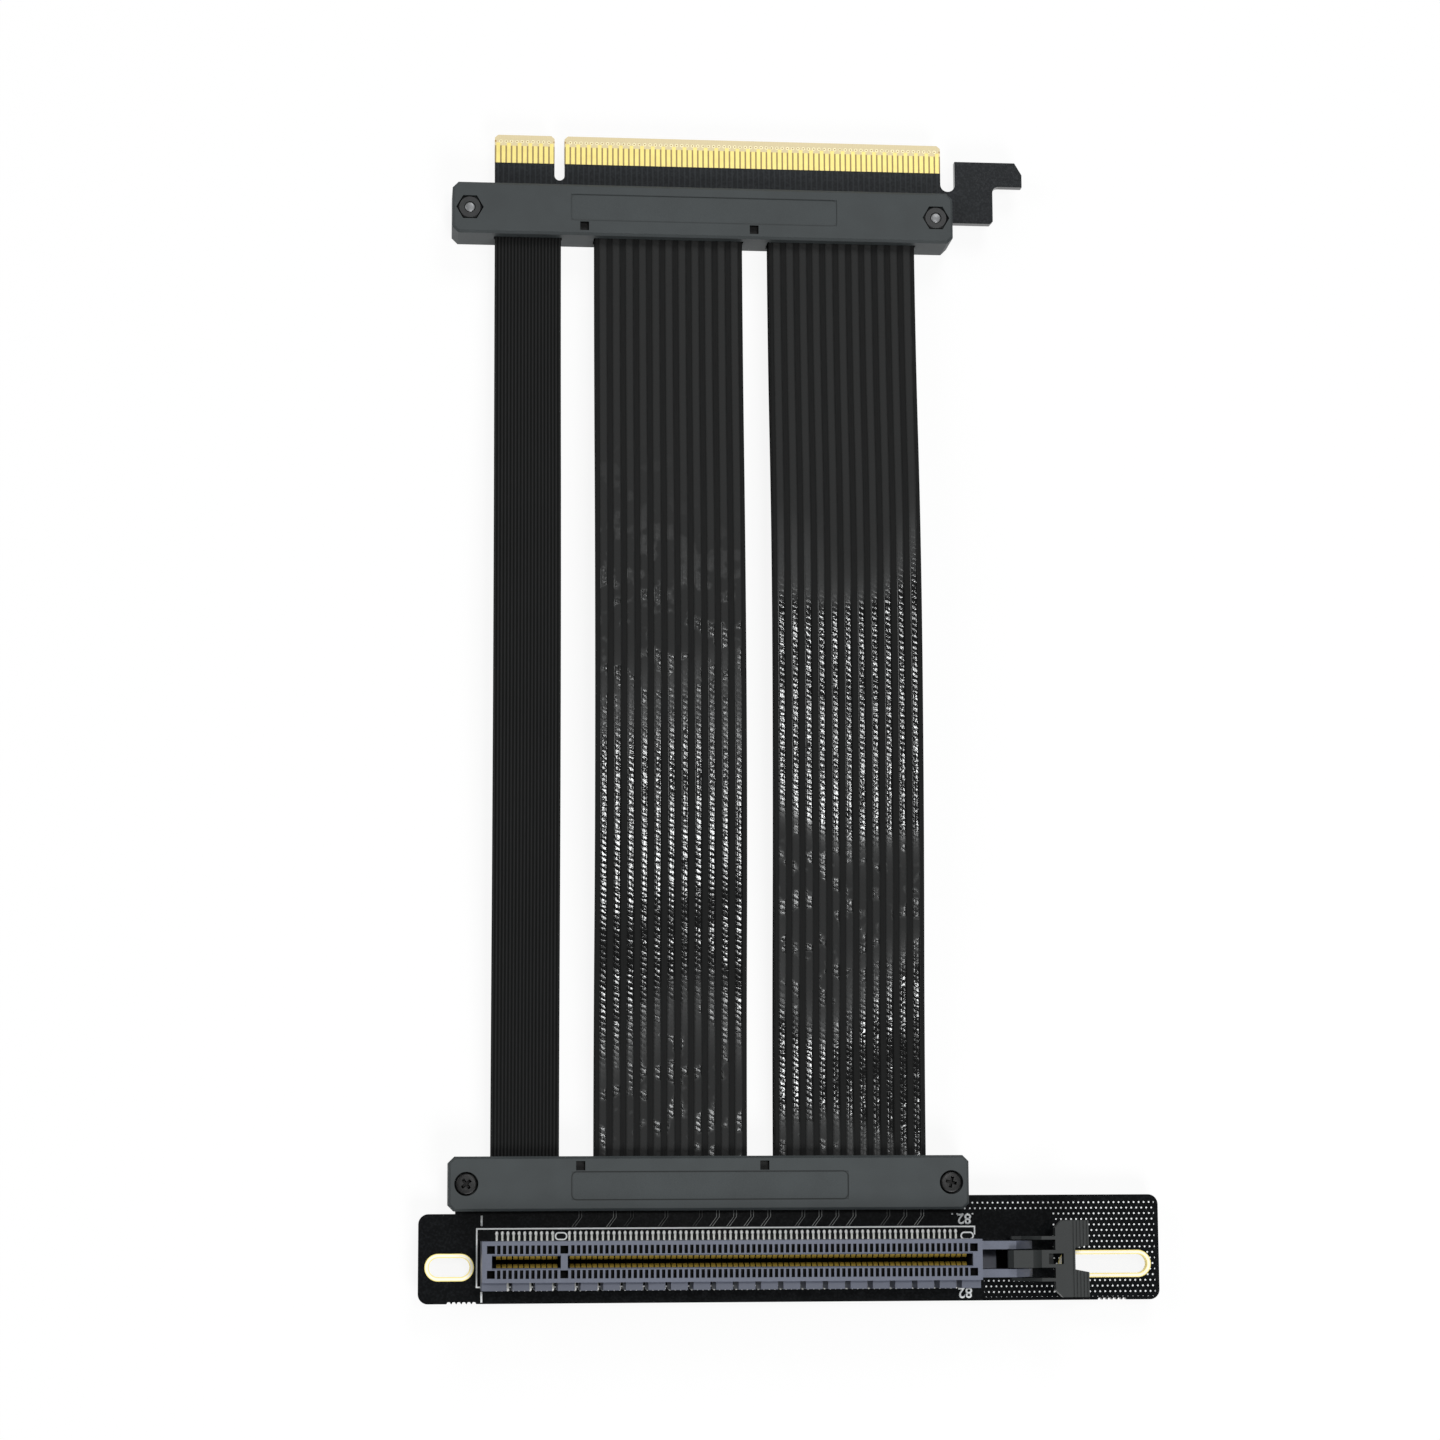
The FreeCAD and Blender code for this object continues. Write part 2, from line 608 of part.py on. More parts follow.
def cut_card_mouth(body):
    """The two lengths of the card's opening, with the key left standing between them."""
    mouth = new_sketch(body, lift="slot_height")
    spans = (
        ("-mouth_length / 2", "key_x - key_width / 2"),
        ("key_x + key_width / 2", "mouth_length / 2"),
    )
    for left, right in spans:
        rectangle(mouth, left, right, "-mouth_width / 2", "mouth_width / 2")
    cut = pocket(body, mouth, "slot_height - mouth_floor", reverse=True)
    rim = []
    for index, edge in enumerate(cut.Shape.Edges, 1):
        ends = [vertex.Point for vertex in edge.Vertexes]
        inside = all(abs(abs(end.y) - number("mouth_width / 2")) < 1e-6 for end in ends)
        on_top = all(abs(end.z - number("slot_height")) < 1e-6 for end in ends)
        if inside and on_top and abs(ends[0].x - ends[1].x) > number("key_gap"):
            rim.append(f"Edge{index}")
    finish_edges(body, "Chamfer", cut, rim, "mouth_lead")


def cut_contact_rooms(body):
    """Rooms beside the card's opening for each run of contacts, and an opening over every contact."""
    rooms = new_sketch(body, lift="mouth_floor")
    channels = new_sketch(body, lift="mouth_floor")
    runs = (("first_pin", SHORT_ROW), ("second_pin", LONG_ROW))
    for first, count in runs:
        left = f"{first} - chamber_end"
        right = f"{first} + {count - 1} * pin_pitch + chamber_end"
        rectangle(rooms, left, right, "-chamber_reach", "chamber_reach")
        rectangle(channels, left, right, "channel_reach", "chamber_reach")
        rectangle(channels, left, right, "-chamber_reach", "-channel_reach")
    pocket(body, rooms, "roof_under - mouth_floor")
    pocket(body, channels, "mouth_floor - slot_seat", reverse=True)
    for first, count in runs:
        openings = new_sketch(body, lift="slot_height")
        left, right = f"{first} - opening_length / 2", f"{first} + opening_length / 2"
        rectangle(openings, left, right, "opening_inner", "chamber_reach")
        rectangle(openings, left, right, "-chamber_reach", "-opening_inner")
        repeat(body, pocket(body, openings, "opening_depth", reverse=True), count, "pin_pitch")


def make_contacts(label, side):
    """One row of spring contacts: a foot on the board and a blade that bulges into the card's opening."""
    body = new_body(label, SOCKET_FRAME)
    for first, count in (("first_pin", SHORT_ROW), ("second_pin", LONG_ROW)):
        profile = [
            (f"{side} * foot_reach", "0"),
            (f"{side} * foot_reach", "contact_gauge"),
            (f"{side} * (heel_reach + contact_gauge)", "contact_gauge"),
            (f"{side} * tip_reach", "tip_height"),
            (f"{side} * bulge_reach", "bulge_height"),
            (f"{side} * heel_reach", "0"),
        ]
        strip = polygon(new_sketch(body, "YZ_Plane", first), profile)
        repeat(body, pad(body, strip, "contact_width", both_ways=True), count, "pin_pitch")


def make_card_latch():
    """A lever with a hook between the cheeks, side rails with pins outside them, and a T grip."""
    body = new_body("card_latch", SOCKET_FRAME)
    hook = [
        ("pivot_x - rail_eye", "pivot_height - hook_root"),
        ("hook_right - hook_root", "pivot_height - hook_root"),
        ("hook_right", "pivot_height + hook_root"),
        ("grip_left", "grip_under"),
        ("grip_left", "grip_top"),
        ("hook_right", "grip_top"),
        ("hook_right - crown_slope", "hook_top"),
        ("hook_left + nose_slope", "hook_top"),
        ("hook_left", "hook_top - nose_drop"),
        ("hook_left", "hook_top - nose_drop - nose_face"),
        ("pivot_x - rail_eye", "hook_top - nose_depth"),
    ]
    pad(body, polygon(new_sketch(body, "XZ_Plane"), hook), "2 * (cheek_inner - latch_fit)", both_ways=True)
    rail = [
        ("pivot_x - rail_eye", "pivot_height - rail_eye / 2"),
        ("pivot_x - rail_eye / 2", "pivot_height - rail_eye"),
        ("pivot_x + rail_eye", "pivot_height - rail_eye"),
        ("grip_left", "grip_under - rail_drop"),
        ("grip_left", "grip_top"),
        ("hook_right", "grip_top"),
        ("pivot_x", "pivot_height + rail_eye"),
        ("pivot_x - rail_eye", "pivot_height + rail_eye / 2"),
    ]
    rails = pad(body, polygon(new_sketch(body, "XZ_Plane", "rail_inner"), rail), "rail_thickness")
    pin = circle(new_sketch(body, "XZ_Plane", "rail_inner"), "pivot_x", "pivot_height", "pivot_radius")
    pins = pad(body, pin, "rail_inner - cheek_inner - pin_stop", reverse=True)
    mirror(body, [rails, pins])
    inner_low, inner_high = "-grip_half + grip_corner", "grip_half - grip_corner"
    hollow = "grip_right - grip_notch"
    plan = [
        ("grip_left", inner_low),
        ("grip_left + grip_corner", "-grip_half"),
        ("grip_right", "-grip_half"),
        ("grip_right", "-grip_notch_half - grip_notch_slant"),
        (hollow, "-grip_notch_half"),
        (hollow, "grip_notch_half"),
        ("grip_right", "grip_notch_half + grip_notch_slant"),
        ("grip_right", "grip_half"),
        ("grip_left + grip_corner", "grip_half"),
        ("grip_left", inner_high),
    ]
    pad(body, polygon(new_sketch(body, lift="grip_under"), plan), "grip_thickness")
    groove = new_sketch(body, lift="grip_top")
    last = "grip_right - groove_width"
    rectangle(groove, f"{last} - groove_width", last, f"-grip_half - {PAST}", f"grip_half + {PAST}")
    cut = pocket(body, groove, "groove_depth", reverse=True)
    repeat(body, cut, GROOVES, "groove_pitch").Reversed = True
    doc.recompute()
    eye = rectangle(new_sketch(body, lift="grip_under"), "eye_left", "eye_right", "-eye_half", "eye_half")
    pocket(body, eye, f"grip_thickness + {PAST}")


# Plug board


def make_plug_board():
    body = new_body("plug_board", PLUG_FRAME)
    yoke_x = "tongue_half + yoke_width / 2"
    tips = [("-tongue_half", "0"), (yoke_x, "0")]
    inner_corner = ("stem_right", "hook_heel")
    outline = [
        ("plug_neck_left", "plug_inner"),
        ("plug_neck_right", "plug_inner"),
        ("plug_neck_right", "hook_base"),
        ("stem_right - stem_cut", "hook_base"),
        ("stem_right", "hook_base + stem_cut"),
        inner_corner,
        ("hook_reach", "hook_heel"),
        ("hook_reach", "hook_tip - hook_cut_y"),
        ("hook_reach - hook_cut_x", "hook_tip"),
        (yoke_x, "hook_tip"),
        tips[1],
        tips[0],
        ("-tongue_half", "plug_step"),
        ("plug_neck_left", "plug_step"),
    ]
    plate = pad(body, polygon(new_sketch(body), outline), "board_thickness", reverse=True)
    finish_edges(body, "Fillet", plate, upright_edges(plate, [inner_corner]), "stem_fillet")
    notches = new_sketch(body)
    for x, name in (("key_x", "key_notch"), (yoke_x, "yoke")):
        radius = f"{name}_width / 2"
        obround(notches, (x, f"{radius} - {name}_depth"), (x, f"{name}_width"), radius)
    cut = pocket(body, notches, "board_thickness", reverse=True)
    key_sides = [(f"key_x {sign} key_notch_width / 2", "0") for sign in "+-"]
    corners = tips[:1] + key_sides + [("tongue_half", "0")]
    finish_edges(body, "Chamfer", cut, upright_edges(cut, corners), "tongue_corner")
    board_holes(body, "plug")
    bevel = new_sketch(body, "YZ_Plane")
    polygon(bevel, [("-tip_bevel", "0"), ("0", "-tip_drop"), ("0", "0")])
    low = "-board_thickness"
    polygon(bevel, [("-tip_bevel", low), ("0", low), ("0", f"{low} + tip_drop")])
    pocket(body, bevel, "2 * (tongue_half + yoke_width)", both_ways=True)


def make_fingers(label, lift, downwards):
    """Gilt fingers on one face of the tongue, long and short in turn."""
    body = new_body(label, PLUG_FRAME)
    for first, count in (("first_pin", SHORT_ROW), ("second_pin", LONG_ROW)):
        for start, length in ((0, "finger_long"), (1, "finger_short")):
            middle = f"{first} + {start} * pin_pitch"
            left, right = f"{middle} - finger_width / 2", f"{middle} + finger_width / 2"
            finger = new_sketch(body, lift=lift)
            rectangle(finger, left, right, "finger_base", f"finger_base + {length}")
            strip = pad(body, finger, "finger_thickness", reverse=downwards)
            repeat(body, strip, (count + 1 - start) // 2, "2 * pin_pitch")


# Covers and their fasteners


def board_room(end):
    """Plan of the space that a board takes between its covers, open where the board comes out."""
    left_wall = f"{end}_cover_x - cover_length / 2 + cover_wall"
    right_wall = f"{end}_cover_x + cover_length / 2 - cover_wall"
    open_right = f"{end}_cover_x + cover_length / 2 + {PAST}"
    if end == "socket":
        open_side = f"socket_cover_y - cover_width / 2 - {PAST}"
        inner, shoulder = "socket_inner + board_fit", "shoulder_right + board_fit"
        return [
            (left_wall, open_side),
            (open_right, open_side),
            (open_right, shoulder),
            (right_wall, shoulder),
            (right_wall, inner),
            (left_wall, inner),
        ]
    open_side = f"plug_cover_y + cover_width / 2 + {PAST}"
    inner, step = "plug_inner - board_fit", "plug_step + board_fit"
    tongue_side = "-tongue_half - board_fit"
    return [
        (left_wall, inner),
        (right_wall, inner),
        (right_wall, "hook_base - board_fit"),
        (open_right, "hook_base - board_fit"),
        (open_right, open_side),
        (tongue_side, open_side),
        (tongue_side, step),
        (left_wall, step),
    ]


def ribbon_rooms(end, front):
    """Middle, width and thickness of each ribbon that a cover lets in."""
    shift = " - plug_shift" if end == "plug" else ""
    rooms = [(f"lanes_{side}_x{shift}", "lanes_width", "lanes_thickness") for side in ("left", "right")]
    if front:
        rooms.append((f"sideband_x{shift}", "sideband_width", "sideband_thickness"))
    return rooms


def make_cover(end, front, nuts):
    """Half a clamshell: outside, board room, ribbon mouths, and recesses for nuts or screw heads."""
    x, y = f"{end}_cover_x", f"{end}_cover_y"
    frame_x, frame_y, _ = FRAMES[end]
    body = new_body(f"{end}_cover_{'front' if front else 'back'}", (frame_x, frame_y, "cover_height"))
    down = not front
    face = "cover_height" if front else "-cover_height"
    left, right = f"{x} - cover_length / 2", f"{x} + cover_length / 2"
    low, high = f"{y} - cover_width / 2", f"{y} + cover_width / 2"
    corner = "cover_corner"
    outline = [
        (f"{left} + {corner}", low),
        (f"{right} - {corner}", low),
        (right, f"{low} + {corner}"),
        (right, f"{high} - {corner}"),
        (f"{right} - {corner}", high),
        (f"{left} + {corner}", high),
        (left, f"{high} - {corner}"),
        (left, f"{low} + {corner}"),
    ]
    shell = pad(body, polygon(new_sketch(body), outline), "cover_height", reverse=down)
    finish_edges(body, "Chamfer", shell, level_edges(shell, face), "cover_edge")
    pocket(body, polygon(new_sketch(body), board_room(end)), "board_thickness / 2", reverse=down)
    cable = CABLE_SIDE[end]
    inside = f"{end}_inner - {cable} * (ribbon_lap + ribbon_fit)"
    outside = f"{y} + {cable} * (cover_width / 2 + {PAST})"
    for middle, width, thickness in ribbon_rooms(end, front):
        reach = f"({width} / 2 + ribbon_fit)"
        mouth = rectangle(new_sketch(body), f"{middle} - {reach}", f"{middle} + {reach}", inside, outside)
        pocket(body, mouth, f"board_thickness / 2 + {thickness} + ribbon_fit", reverse=down)
    shafts = new_sketch(body)
    recesses = new_sketch(body, lift=face)
    for middle in screw_places(end):
        octagon(shafts, middle, y, "shaft_radius")
        if nuts:
            hexagon(recesses, middle, y, "nut_room")
        else:
            circle(recesses, middle, y, "head_room")
    pocket(body, shafts, "cover_height", reverse=down)
    pocket(body, recesses, "nut_sink + nut_height" if nuts else "head_sink + head_height", reverse=front)
    if front:
        cut_front_face(body, end, x, y, cable)


def cut_front_face(body, end, x, y, cable):
    """Square windows along the cable side and a shallow label recess."""
    windows = new_sketch(body, lift="cover_height")
    level = f"{y} + {cable} * (cover_width / 2 - window_inset)"
    half = "window_side / 2"
    low, high = f"{level} - {half}", f"{level} + {half}"
    for middle in (f"{x} - {end}_window_left", f"{x} + {end}_window_right"):
        rectangle(windows, f"{middle} - {half}", f"{middle} + {half}", low, high)
    pocket(body, windows, "window_depth", reverse=True)
    panel = new_sketch(body, lift="cover_height")
    level = f"{y} - {cable} * panel_shift"
    low, high = f"{level} - panel_width / 2", f"{level} + panel_width / 2"
    rectangle(panel, f"{x} - panel_length / 2", f"{x} + panel_length / 2", low, high)
    pocket(body, panel, "panel_depth", reverse=True)


def fastener_frame(end):
    frame_x, frame_y, _ = FRAMES[end]
    return (f"{frame_x} + {screw_places(end)[0]}", f"{frame_y} + {end}_cover_y", "cover_height")


def make_screws(end, head_up):
    """Two screws with round heads; the shank ends level with the nut's outer face."""
    body = new_body(f"{end}_screws", fastener_frame(end))
    way = 1 if head_up else -1
    seat = f"{way} * (cover_height - head_sink - head_height)"
    head = circle(new_sketch(body, lift=seat), "0", "0", "head_radius")
    heads = pad(body, head, "head_height", reverse=not head_up)
    repeat(body, heads, 2, "screw_spacing")
    shank = octagon(new_sketch(body, lift=seat), "0", "0", "screw_radius")
    shanks = pad(body, shank, "2 * cover_height - head_sink - head_height - nut_sink", reverse=head_up)
    repeat(body, shanks, 2, "screw_spacing")


def make_nuts(end, on_top):
    body = new_body(f"{end}_nuts", fastener_frame(end))
    lift = "cover_height - nut_sink" if on_top else "nut_sink - cover_height"
    sketch = new_sketch(body, lift=lift)
    hexagon(sketch, "0", "0", "nut_flats")
    octagon(sketch, "0", "0", "screw_radius + thread_gap")
    repeat(body, pad(body, sketch, "nut_height", reverse=on_top), 2, "screw_spacing")


# Ribbon cables


def bent_path(points, offset):
    """Edges along straight runs and the largest tangent arcs that fit, set off to the left by offset."""
    edges = []
    runs = [b - a for a, b in zip(points, points[1:])]
    left = [FreeCAD.Vector(0, -run.z, run.y).normalize() * offset for run in runs]
    last = points[0] + left[0]
    for corner, before, after, near, far in zip(points[1:], runs, runs[1:], left, left[1:]):
        turn = before.getAngle(after)
        reach = ARC_SHARE * min(before.Length, after.Length)
        radius = reach / math.tan(turn / 2)
        start = corner - FreeCAD.Vector(before).normalize() * reach
        end = corner + FreeCAD.Vector(after).normalize() * reach
        inward = ((start + end) / 2 - corner).normalize()
        centre = corner + inward * math.hypot(radius, reach)
        away = start - centre
        grown = radius + offset * math.copysign(1, away.dot(near)) * math.copysign(1, offset)
        middle = centre - inward * (grown if offset else radius)
        edges.append(Part.LineSegment(last, start + near).toShape())
        edges.append(Part.Arc(start + near, middle, end + far).toShape())
        last = end + far
    edges.append(Part.LineSegment(last, points[-1] + left[-1]).toShape())
    return edges


def make_ribbon(label, route, middle, width, thickness, upper):
    """A flat cable from one board to the other, lying on their top faces or under them."""
    near = number("slot_y + socket_cover_y + cover_width / 2")
    far = number("plug_y + plug_cover_y - cover_width / 2")
    half = number(f"{thickness} / 2")
    level = number("board_top") + half if upper else number("board_top - board_thickness") - half
    lift = 0 if upper else number("layer_rise")
    top_rise = max(rise for share, rise in route)
    points = [FreeCAD.Vector(0, number("slot_y + socket_inner - ribbon_lap"), level)]
    for share, rise in route:
        height = level + rise + lift * rise / top_rise
        points.append(FreeCAD.Vector(0, near + share * (far - near), height))
    points.append(FreeCAD.Vector(0, number("plug_y + plug_inner + ribbon_lap"), level))
    above, under = bent_path(points, half), bent_path(points, -half)
    ends = [[path[0].Vertexes[0].Point, path[-1].Vertexes[-1].Point] for path in (above, under)]
    caps = [Part.LineSegment(a, b).toShape() for a, b in zip(*ends)]
    wire = Part.Wire(Part.__sortEdges__(above + under + caps))
    breadth = number(width)
    start = FreeCAD.Vector(number(f"slot_x + {middle} - {width} / 2"), 0, 0)
    solid = Part.Face(wire).extrude(FreeCAD.Vector(breadth, 0, 0))
    length = sum(edge.Length for edge in bent_path(points, 0))
    if abs(solid.Volume / (length * breadth * 2 * half) - 1) > 0.01:
        raise ValueError(f"{label} is not its section times its length")
    ribbon = doc.addObject("Part::Feature", label)
    ribbon.Label = label
    ribbon.Shape = solid
    ribbon.Placement = FreeCAD.Placement(start, FreeCAD.Rotation())
    PARTS.append(ribbon)


def make_ribbons():
    make_ribbon("sideband_ribbon", SIDEBAND_ROUTE, "sideband_x", "sideband_width", "sideband_thickness", True)
    for side, route in (("left", LEFT_ROUTE), ("right", RIGHT_ROUTE)):
        for layer in ("upper", "lower"):
            label = f"lane_ribbon_{side}_{layer}"
            upper = layer == "upper"
            make_ribbon(label, route, f"lanes_{side}_x", "lanes_width", "lanes_thickness", upper)


def write_parts():
    """Check every object, then write one STEP file for each sub-part."""
    doc.recompute()
    failed = [thing.Name for thing in doc.Objects if {"Invalid", "Error"} & set(thing.State)]
    failed += [part.Label for part in PARTS if part.Shape.isNull() or not part.Shape.isValid()]
    if failed:
        raise ValueError(f"not built: {failed}")
    os.makedirs("parts", exist_ok=True)
    for part in PARTS:
        part.Shape.exportStep(f"parts/{part.Label}.step")


make_socket_board()
make_card_slot_body()
make_contacts("contacts_row_a", 1)
make_contacts("contacts_row_b", -1)
make_card_latch()
make_plug_board()
make_fingers("plug_fingers_front", "0", False)
make_fingers("plug_fingers_back", "-board_thickness", True)
for name in ("socket", "plug"):
    nuts_in_front = name == "plug"
    make_cover(name, True, nuts_in_front)
    make_cover(name, False, not nuts_in_front)
    make_screws(name, not nuts_in_front)
    make_nuts(name, nuts_in_front)
make_ribbons()
write_parts()
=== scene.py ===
import math

import bpy
from bpy.props import FloatProperty, FloatVectorProperty, IntProperty, PointerProperty
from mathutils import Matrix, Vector


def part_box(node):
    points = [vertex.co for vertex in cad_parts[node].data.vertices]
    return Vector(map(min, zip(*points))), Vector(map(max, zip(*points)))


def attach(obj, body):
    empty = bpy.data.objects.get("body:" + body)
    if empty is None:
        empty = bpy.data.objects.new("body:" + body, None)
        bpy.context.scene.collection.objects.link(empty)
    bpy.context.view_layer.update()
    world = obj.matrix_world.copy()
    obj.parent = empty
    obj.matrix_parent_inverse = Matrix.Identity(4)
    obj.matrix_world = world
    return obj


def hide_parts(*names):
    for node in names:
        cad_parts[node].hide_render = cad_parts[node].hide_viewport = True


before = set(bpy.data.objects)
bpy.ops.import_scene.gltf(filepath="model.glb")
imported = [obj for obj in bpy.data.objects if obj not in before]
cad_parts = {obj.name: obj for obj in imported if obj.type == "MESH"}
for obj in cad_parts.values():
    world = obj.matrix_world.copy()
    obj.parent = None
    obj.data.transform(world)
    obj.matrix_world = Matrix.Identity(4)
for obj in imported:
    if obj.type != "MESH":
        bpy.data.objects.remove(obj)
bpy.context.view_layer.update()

bl_info = {
    "name": "Riser cable looks",
    "version": (1, 0, 0),
    "blender": (4, 5, 0),
    "location": "View3D > Sidebar > Riser",
    "description": "Ribbed ribbons, fasteners, print and finishes for a packed riser cable",
    "category": "Object",
}

MM = 0.001
CABLE_BODY = "cable"

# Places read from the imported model: the middle of the card slot on its board, and of the tongue's tip
BOARD_LOW, BOARD_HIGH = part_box("socket_board")
ROW_A, ROW_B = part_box("contacts_row_a"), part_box("contacts_row_b")
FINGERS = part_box("plug_fingers_front")
PLUG_LOW, PLUG_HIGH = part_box("plug_board")
SLOT = Vector(((ROW_A[0].x + ROW_A[1].x) / 2, (ROW_A[1].y + ROW_B[0].y) / 2, BOARD_HIGH.z))
TONGUE = Vector(((FINGERS[0].x + FINGERS[1].x) / 2, PLUG_HIGH.y, PLUG_HIGH.z))

# Contacts of one row: first contact from the row's middle, and how many
SHORT_RUN = (-0.0415, 11)
LONG_RUN = (-0.0285, 71)
PIN_PITCH = 0.001

# Middle line of a contact from the slot's middle, outwards and up: foot, heel, bulge and tip
CONTACT_LINE = ((0.00525, 0.0001), (0.00245, 0.0001), (0.0003, 0.0086), (0.0015, 0.00965))

# Mounting slots: side, middle from the slot's middle, and length
MOUNT_RADIUS = 0.00175
MOUNT_SLOTS = (("left", (-0.04995, -0.00105), 0.0074), ("right", (0.0688, -0.00105), 0.0157))

# Printed numbers and their places from the slot's middle
NUMBERS = (
    ("1", -0.0442, 0.0073),
    ("82", 0.0431, 0.0072),
    ("1", -0.0442, -0.0062),
    ("82", 0.0431, -0.006),
)

# Covers, in millimetres: windows along the cover from its middle, with painted shade inside, and the
# line of painted shade round its panel's recess
WINDOWS = {"socket": (-23.3, 9.8), "plug": (-22.4, 9.3)}
WINDOW_HALF, WINDOW_INSET, WINDOW_DEPTHS = 0.85, 1.7, (-1.4, -0.03)
PANEL_HALF, PANEL_SHIFT, PANEL_CORNER = (24.9, 2.5), 0.4, 1.0
# Painted shade along the walls of the label panel's recess: its strength at each end, its half width
# and its colour
PANEL_SHADE_SHARES = {"socket": 0.7, "plug": 0.25}
PANEL_SHADE_HALF, PANEL_SHADE_TINT = 0.12, (0.008, 0.009, 0.009)
PANEL_SKIN = -0.3

# Print on the socket board, in millimetres from the slot's middle: left, right, low and high
TOP_SKIN = -0.02
OUTLINE = (-45.2, 45.1, -4.68, 5.62)
OUTLINE_TAIL = 4.3
PEG_MARKS = ((-30.0, 4.4, 1.0), (43.6, 4.1, 1.1))
PEG_MARK_RADIUS = 0.6
DOT_FIELDS = ((46.6, 78.1, -6.9, 10.8), (40.7, 47.1, 7.9, 10.8))
DOT_CLEARING = (45.3, 59.3, -3.6, 8.3)
DOT_PITCH, DOT_ROW, DOT_RADIUS = 0.93, 1.0, 0.16
TRACE_AREA = (-34.0, 41.0, 6.0, 8.85)
TRACE_GROUP, TRACE_PAIR, TRACE_HALF = 3.1, (1.1, 1.6), 0.07
TRACE_BEND, TRACE_SLANT = 7.7, 0.75
TRACE_TINT = (0.3, 0.31, 0.3)

# Plug board, in millimetres from the tongue's tip
TONGUE_RIGHT, MASK_EDGE, PALE_EDGE = 42.3, -5.45, -2.15
STRIPE_SPAN, STRIPE_HALF = (-9.5, -5.6), 0.14
# Bare laminate between the fingers: its own colour, darkened by painted shade of the fingers
SHADED_LAMINATE_SHARES = (0.42, 0.36, 0.25)

# Card slot, in millimetres: where shade is painted into its openings and its inside, from its middle
# and its top
OPENING_SPAN, OPENING_END, OPENING_DEPTHS = (1.36, 2.92), 43.8, (-2.05, -0.04)
INSIDE_HALF = (43.0, 2.95)
INSIDE_DEPTH = -0.9
FOOT_TOP = 0.9
# Painted shade: near-black colour put into openings, windows and recesses where shade falls
DEEP_SHADE = (0.002, 0.002, 0.002)

# Screws, in millimetres above the floor: bright cut ends, and painted shade in the recesses
CUT_ENDS = (0.2, 8.6)
SHADED_RECESSES = ((7.4, 8.38), (0.42, 1.4))

# Grain of the moulded plastic
GRAIN, GRAIN_DEPTH = 0.00011, 0.00001

# Route of each ribbon, as in the part's source: share of the free length and rise
FREE_START, FREE_END = -0.08195, 0.08795
LAP = 0.006
LANE_THICKNESS, SIDEBAND_THICKNESS = 0.0012, 0.0009
SIDEBAND_ROUTE = ((0.1, 0.0), (0.36, 0.003), (0.64, 0.0032), (0.9, 0.0))
LEFT_ROUTE = ((0.1, 0.0), (0.35, 0.004), (0.63, 0.0036), (0.9, 0.0))
RIGHT_ROUTE = ((0.1, 0.0), (0.37, 0.0034), (0.66, 0.0042), (0.9, 0.0))
LAYER_RISE = 0.0011
ROUTES = {
    "sideband_ribbon": (SIDEBAND_ROUTE, 0.0),
    "lane_ribbon_left_upper": (LEFT_ROUTE, 0.0),
    "lane_ribbon_left_lower": (LEFT_ROUTE, LAYER_RISE),
    "lane_ribbon_right_upper": (RIGHT_ROUTE, 0.0),
    "lane_ribbon_right_lower": (RIGHT_ROUTE, LAYER_RISE),
}

# Half-sections of the ribbons: heights along one repeat, as shares of half the thickness
LANE_SECTION = (0.5, 0.62, 0.62, 0.5, 0.96, 1.0, 0.97, 0.97, 1.0, 0.96)
LANE_REPEATS = 11
LANE_EDGE_COLUMNS = 3
WIRE_SECTION = (0.5, 0.92, 1.0, 0.92)
WIRE_REPEATS = 20

# Painted glints on the wide ribbons: zones of glossy metallic vinyl placed where the lamps' glints
# fall, in millimetres from the socket: start, full, fading, end
GLINT_ZONES = {
    "left": ((4.0, 24.0, 62.0, 94.0),),
    "right": ((-2.0, 10.0, 26.0, 44.0), (56.0, 70.0, 106.0, 126.0)),
}

# Shares of one repeat of a wide ribbon: where its wire pair rises and falls, its ridge, and its line of
# painted glints
PAIR_RISE, PAIR_FALL = (0.32, 0.4), (0.9, 0.98)
RIDGE, RIDGE_HALF = 0.15, 0.05
GLINT_LINE, GLINT_LINE_HALF = 0.93, 0.06
# Tint of the glossy metallic vinyl that carries the painted glints
GLINT_TINT = (0.05, 0.051, 0.051)

# Spiral wrap of a wire pair: turns in a millimetre, depth of its crinkles, where its painted glint
# spots fade
WRAP_TURNS, WRAP_DEPTH = 0.95, 0.00034
GLINT_SPOTS_FADE = (96.0, 130.0)

# Lamps: name, value of its power, place and size; and the camera's place and its turns in degrees
SOFTBOXES = (
    ("key_softbox", "key_power", (0.16, -0.55, 0.6), (0.3, 0.3)),
    ("glint_strip", "glint_power", (0.07, 0.03, 0.77), (0.07, 0.13)),
    ("back_softbox", "back_power", (0.15, 0.55, 0.6), (0.3, 0.3)),
    ("side_softbox", "side_power", (-0.7, 0.25, 0.6), (0.5, 0.5)),
)
FLOOR_SIZE = 6
CAMERA_PLACE = (-0.073675, -0.0913, 0.6224)
CAMERA_TURN = (8.18, -5.61, -0.26)
SENSOR_WIDTH = 36

# Closer than this, two places are the same
HAIR = 1e-7


def colour(name, description, default):
    return FloatVectorProperty(
        name=name, description=description, default=default, size=3, subtype="COLOR", min=0, max=1
    )


def length(name, description, default):
    return FloatProperty(
        name=name, description=description, default=default, unit="LENGTH", precision=5, min=0
    )


def power(name, description, default):
    return FloatProperty(name=name, description=description, default=default, unit="POWER")


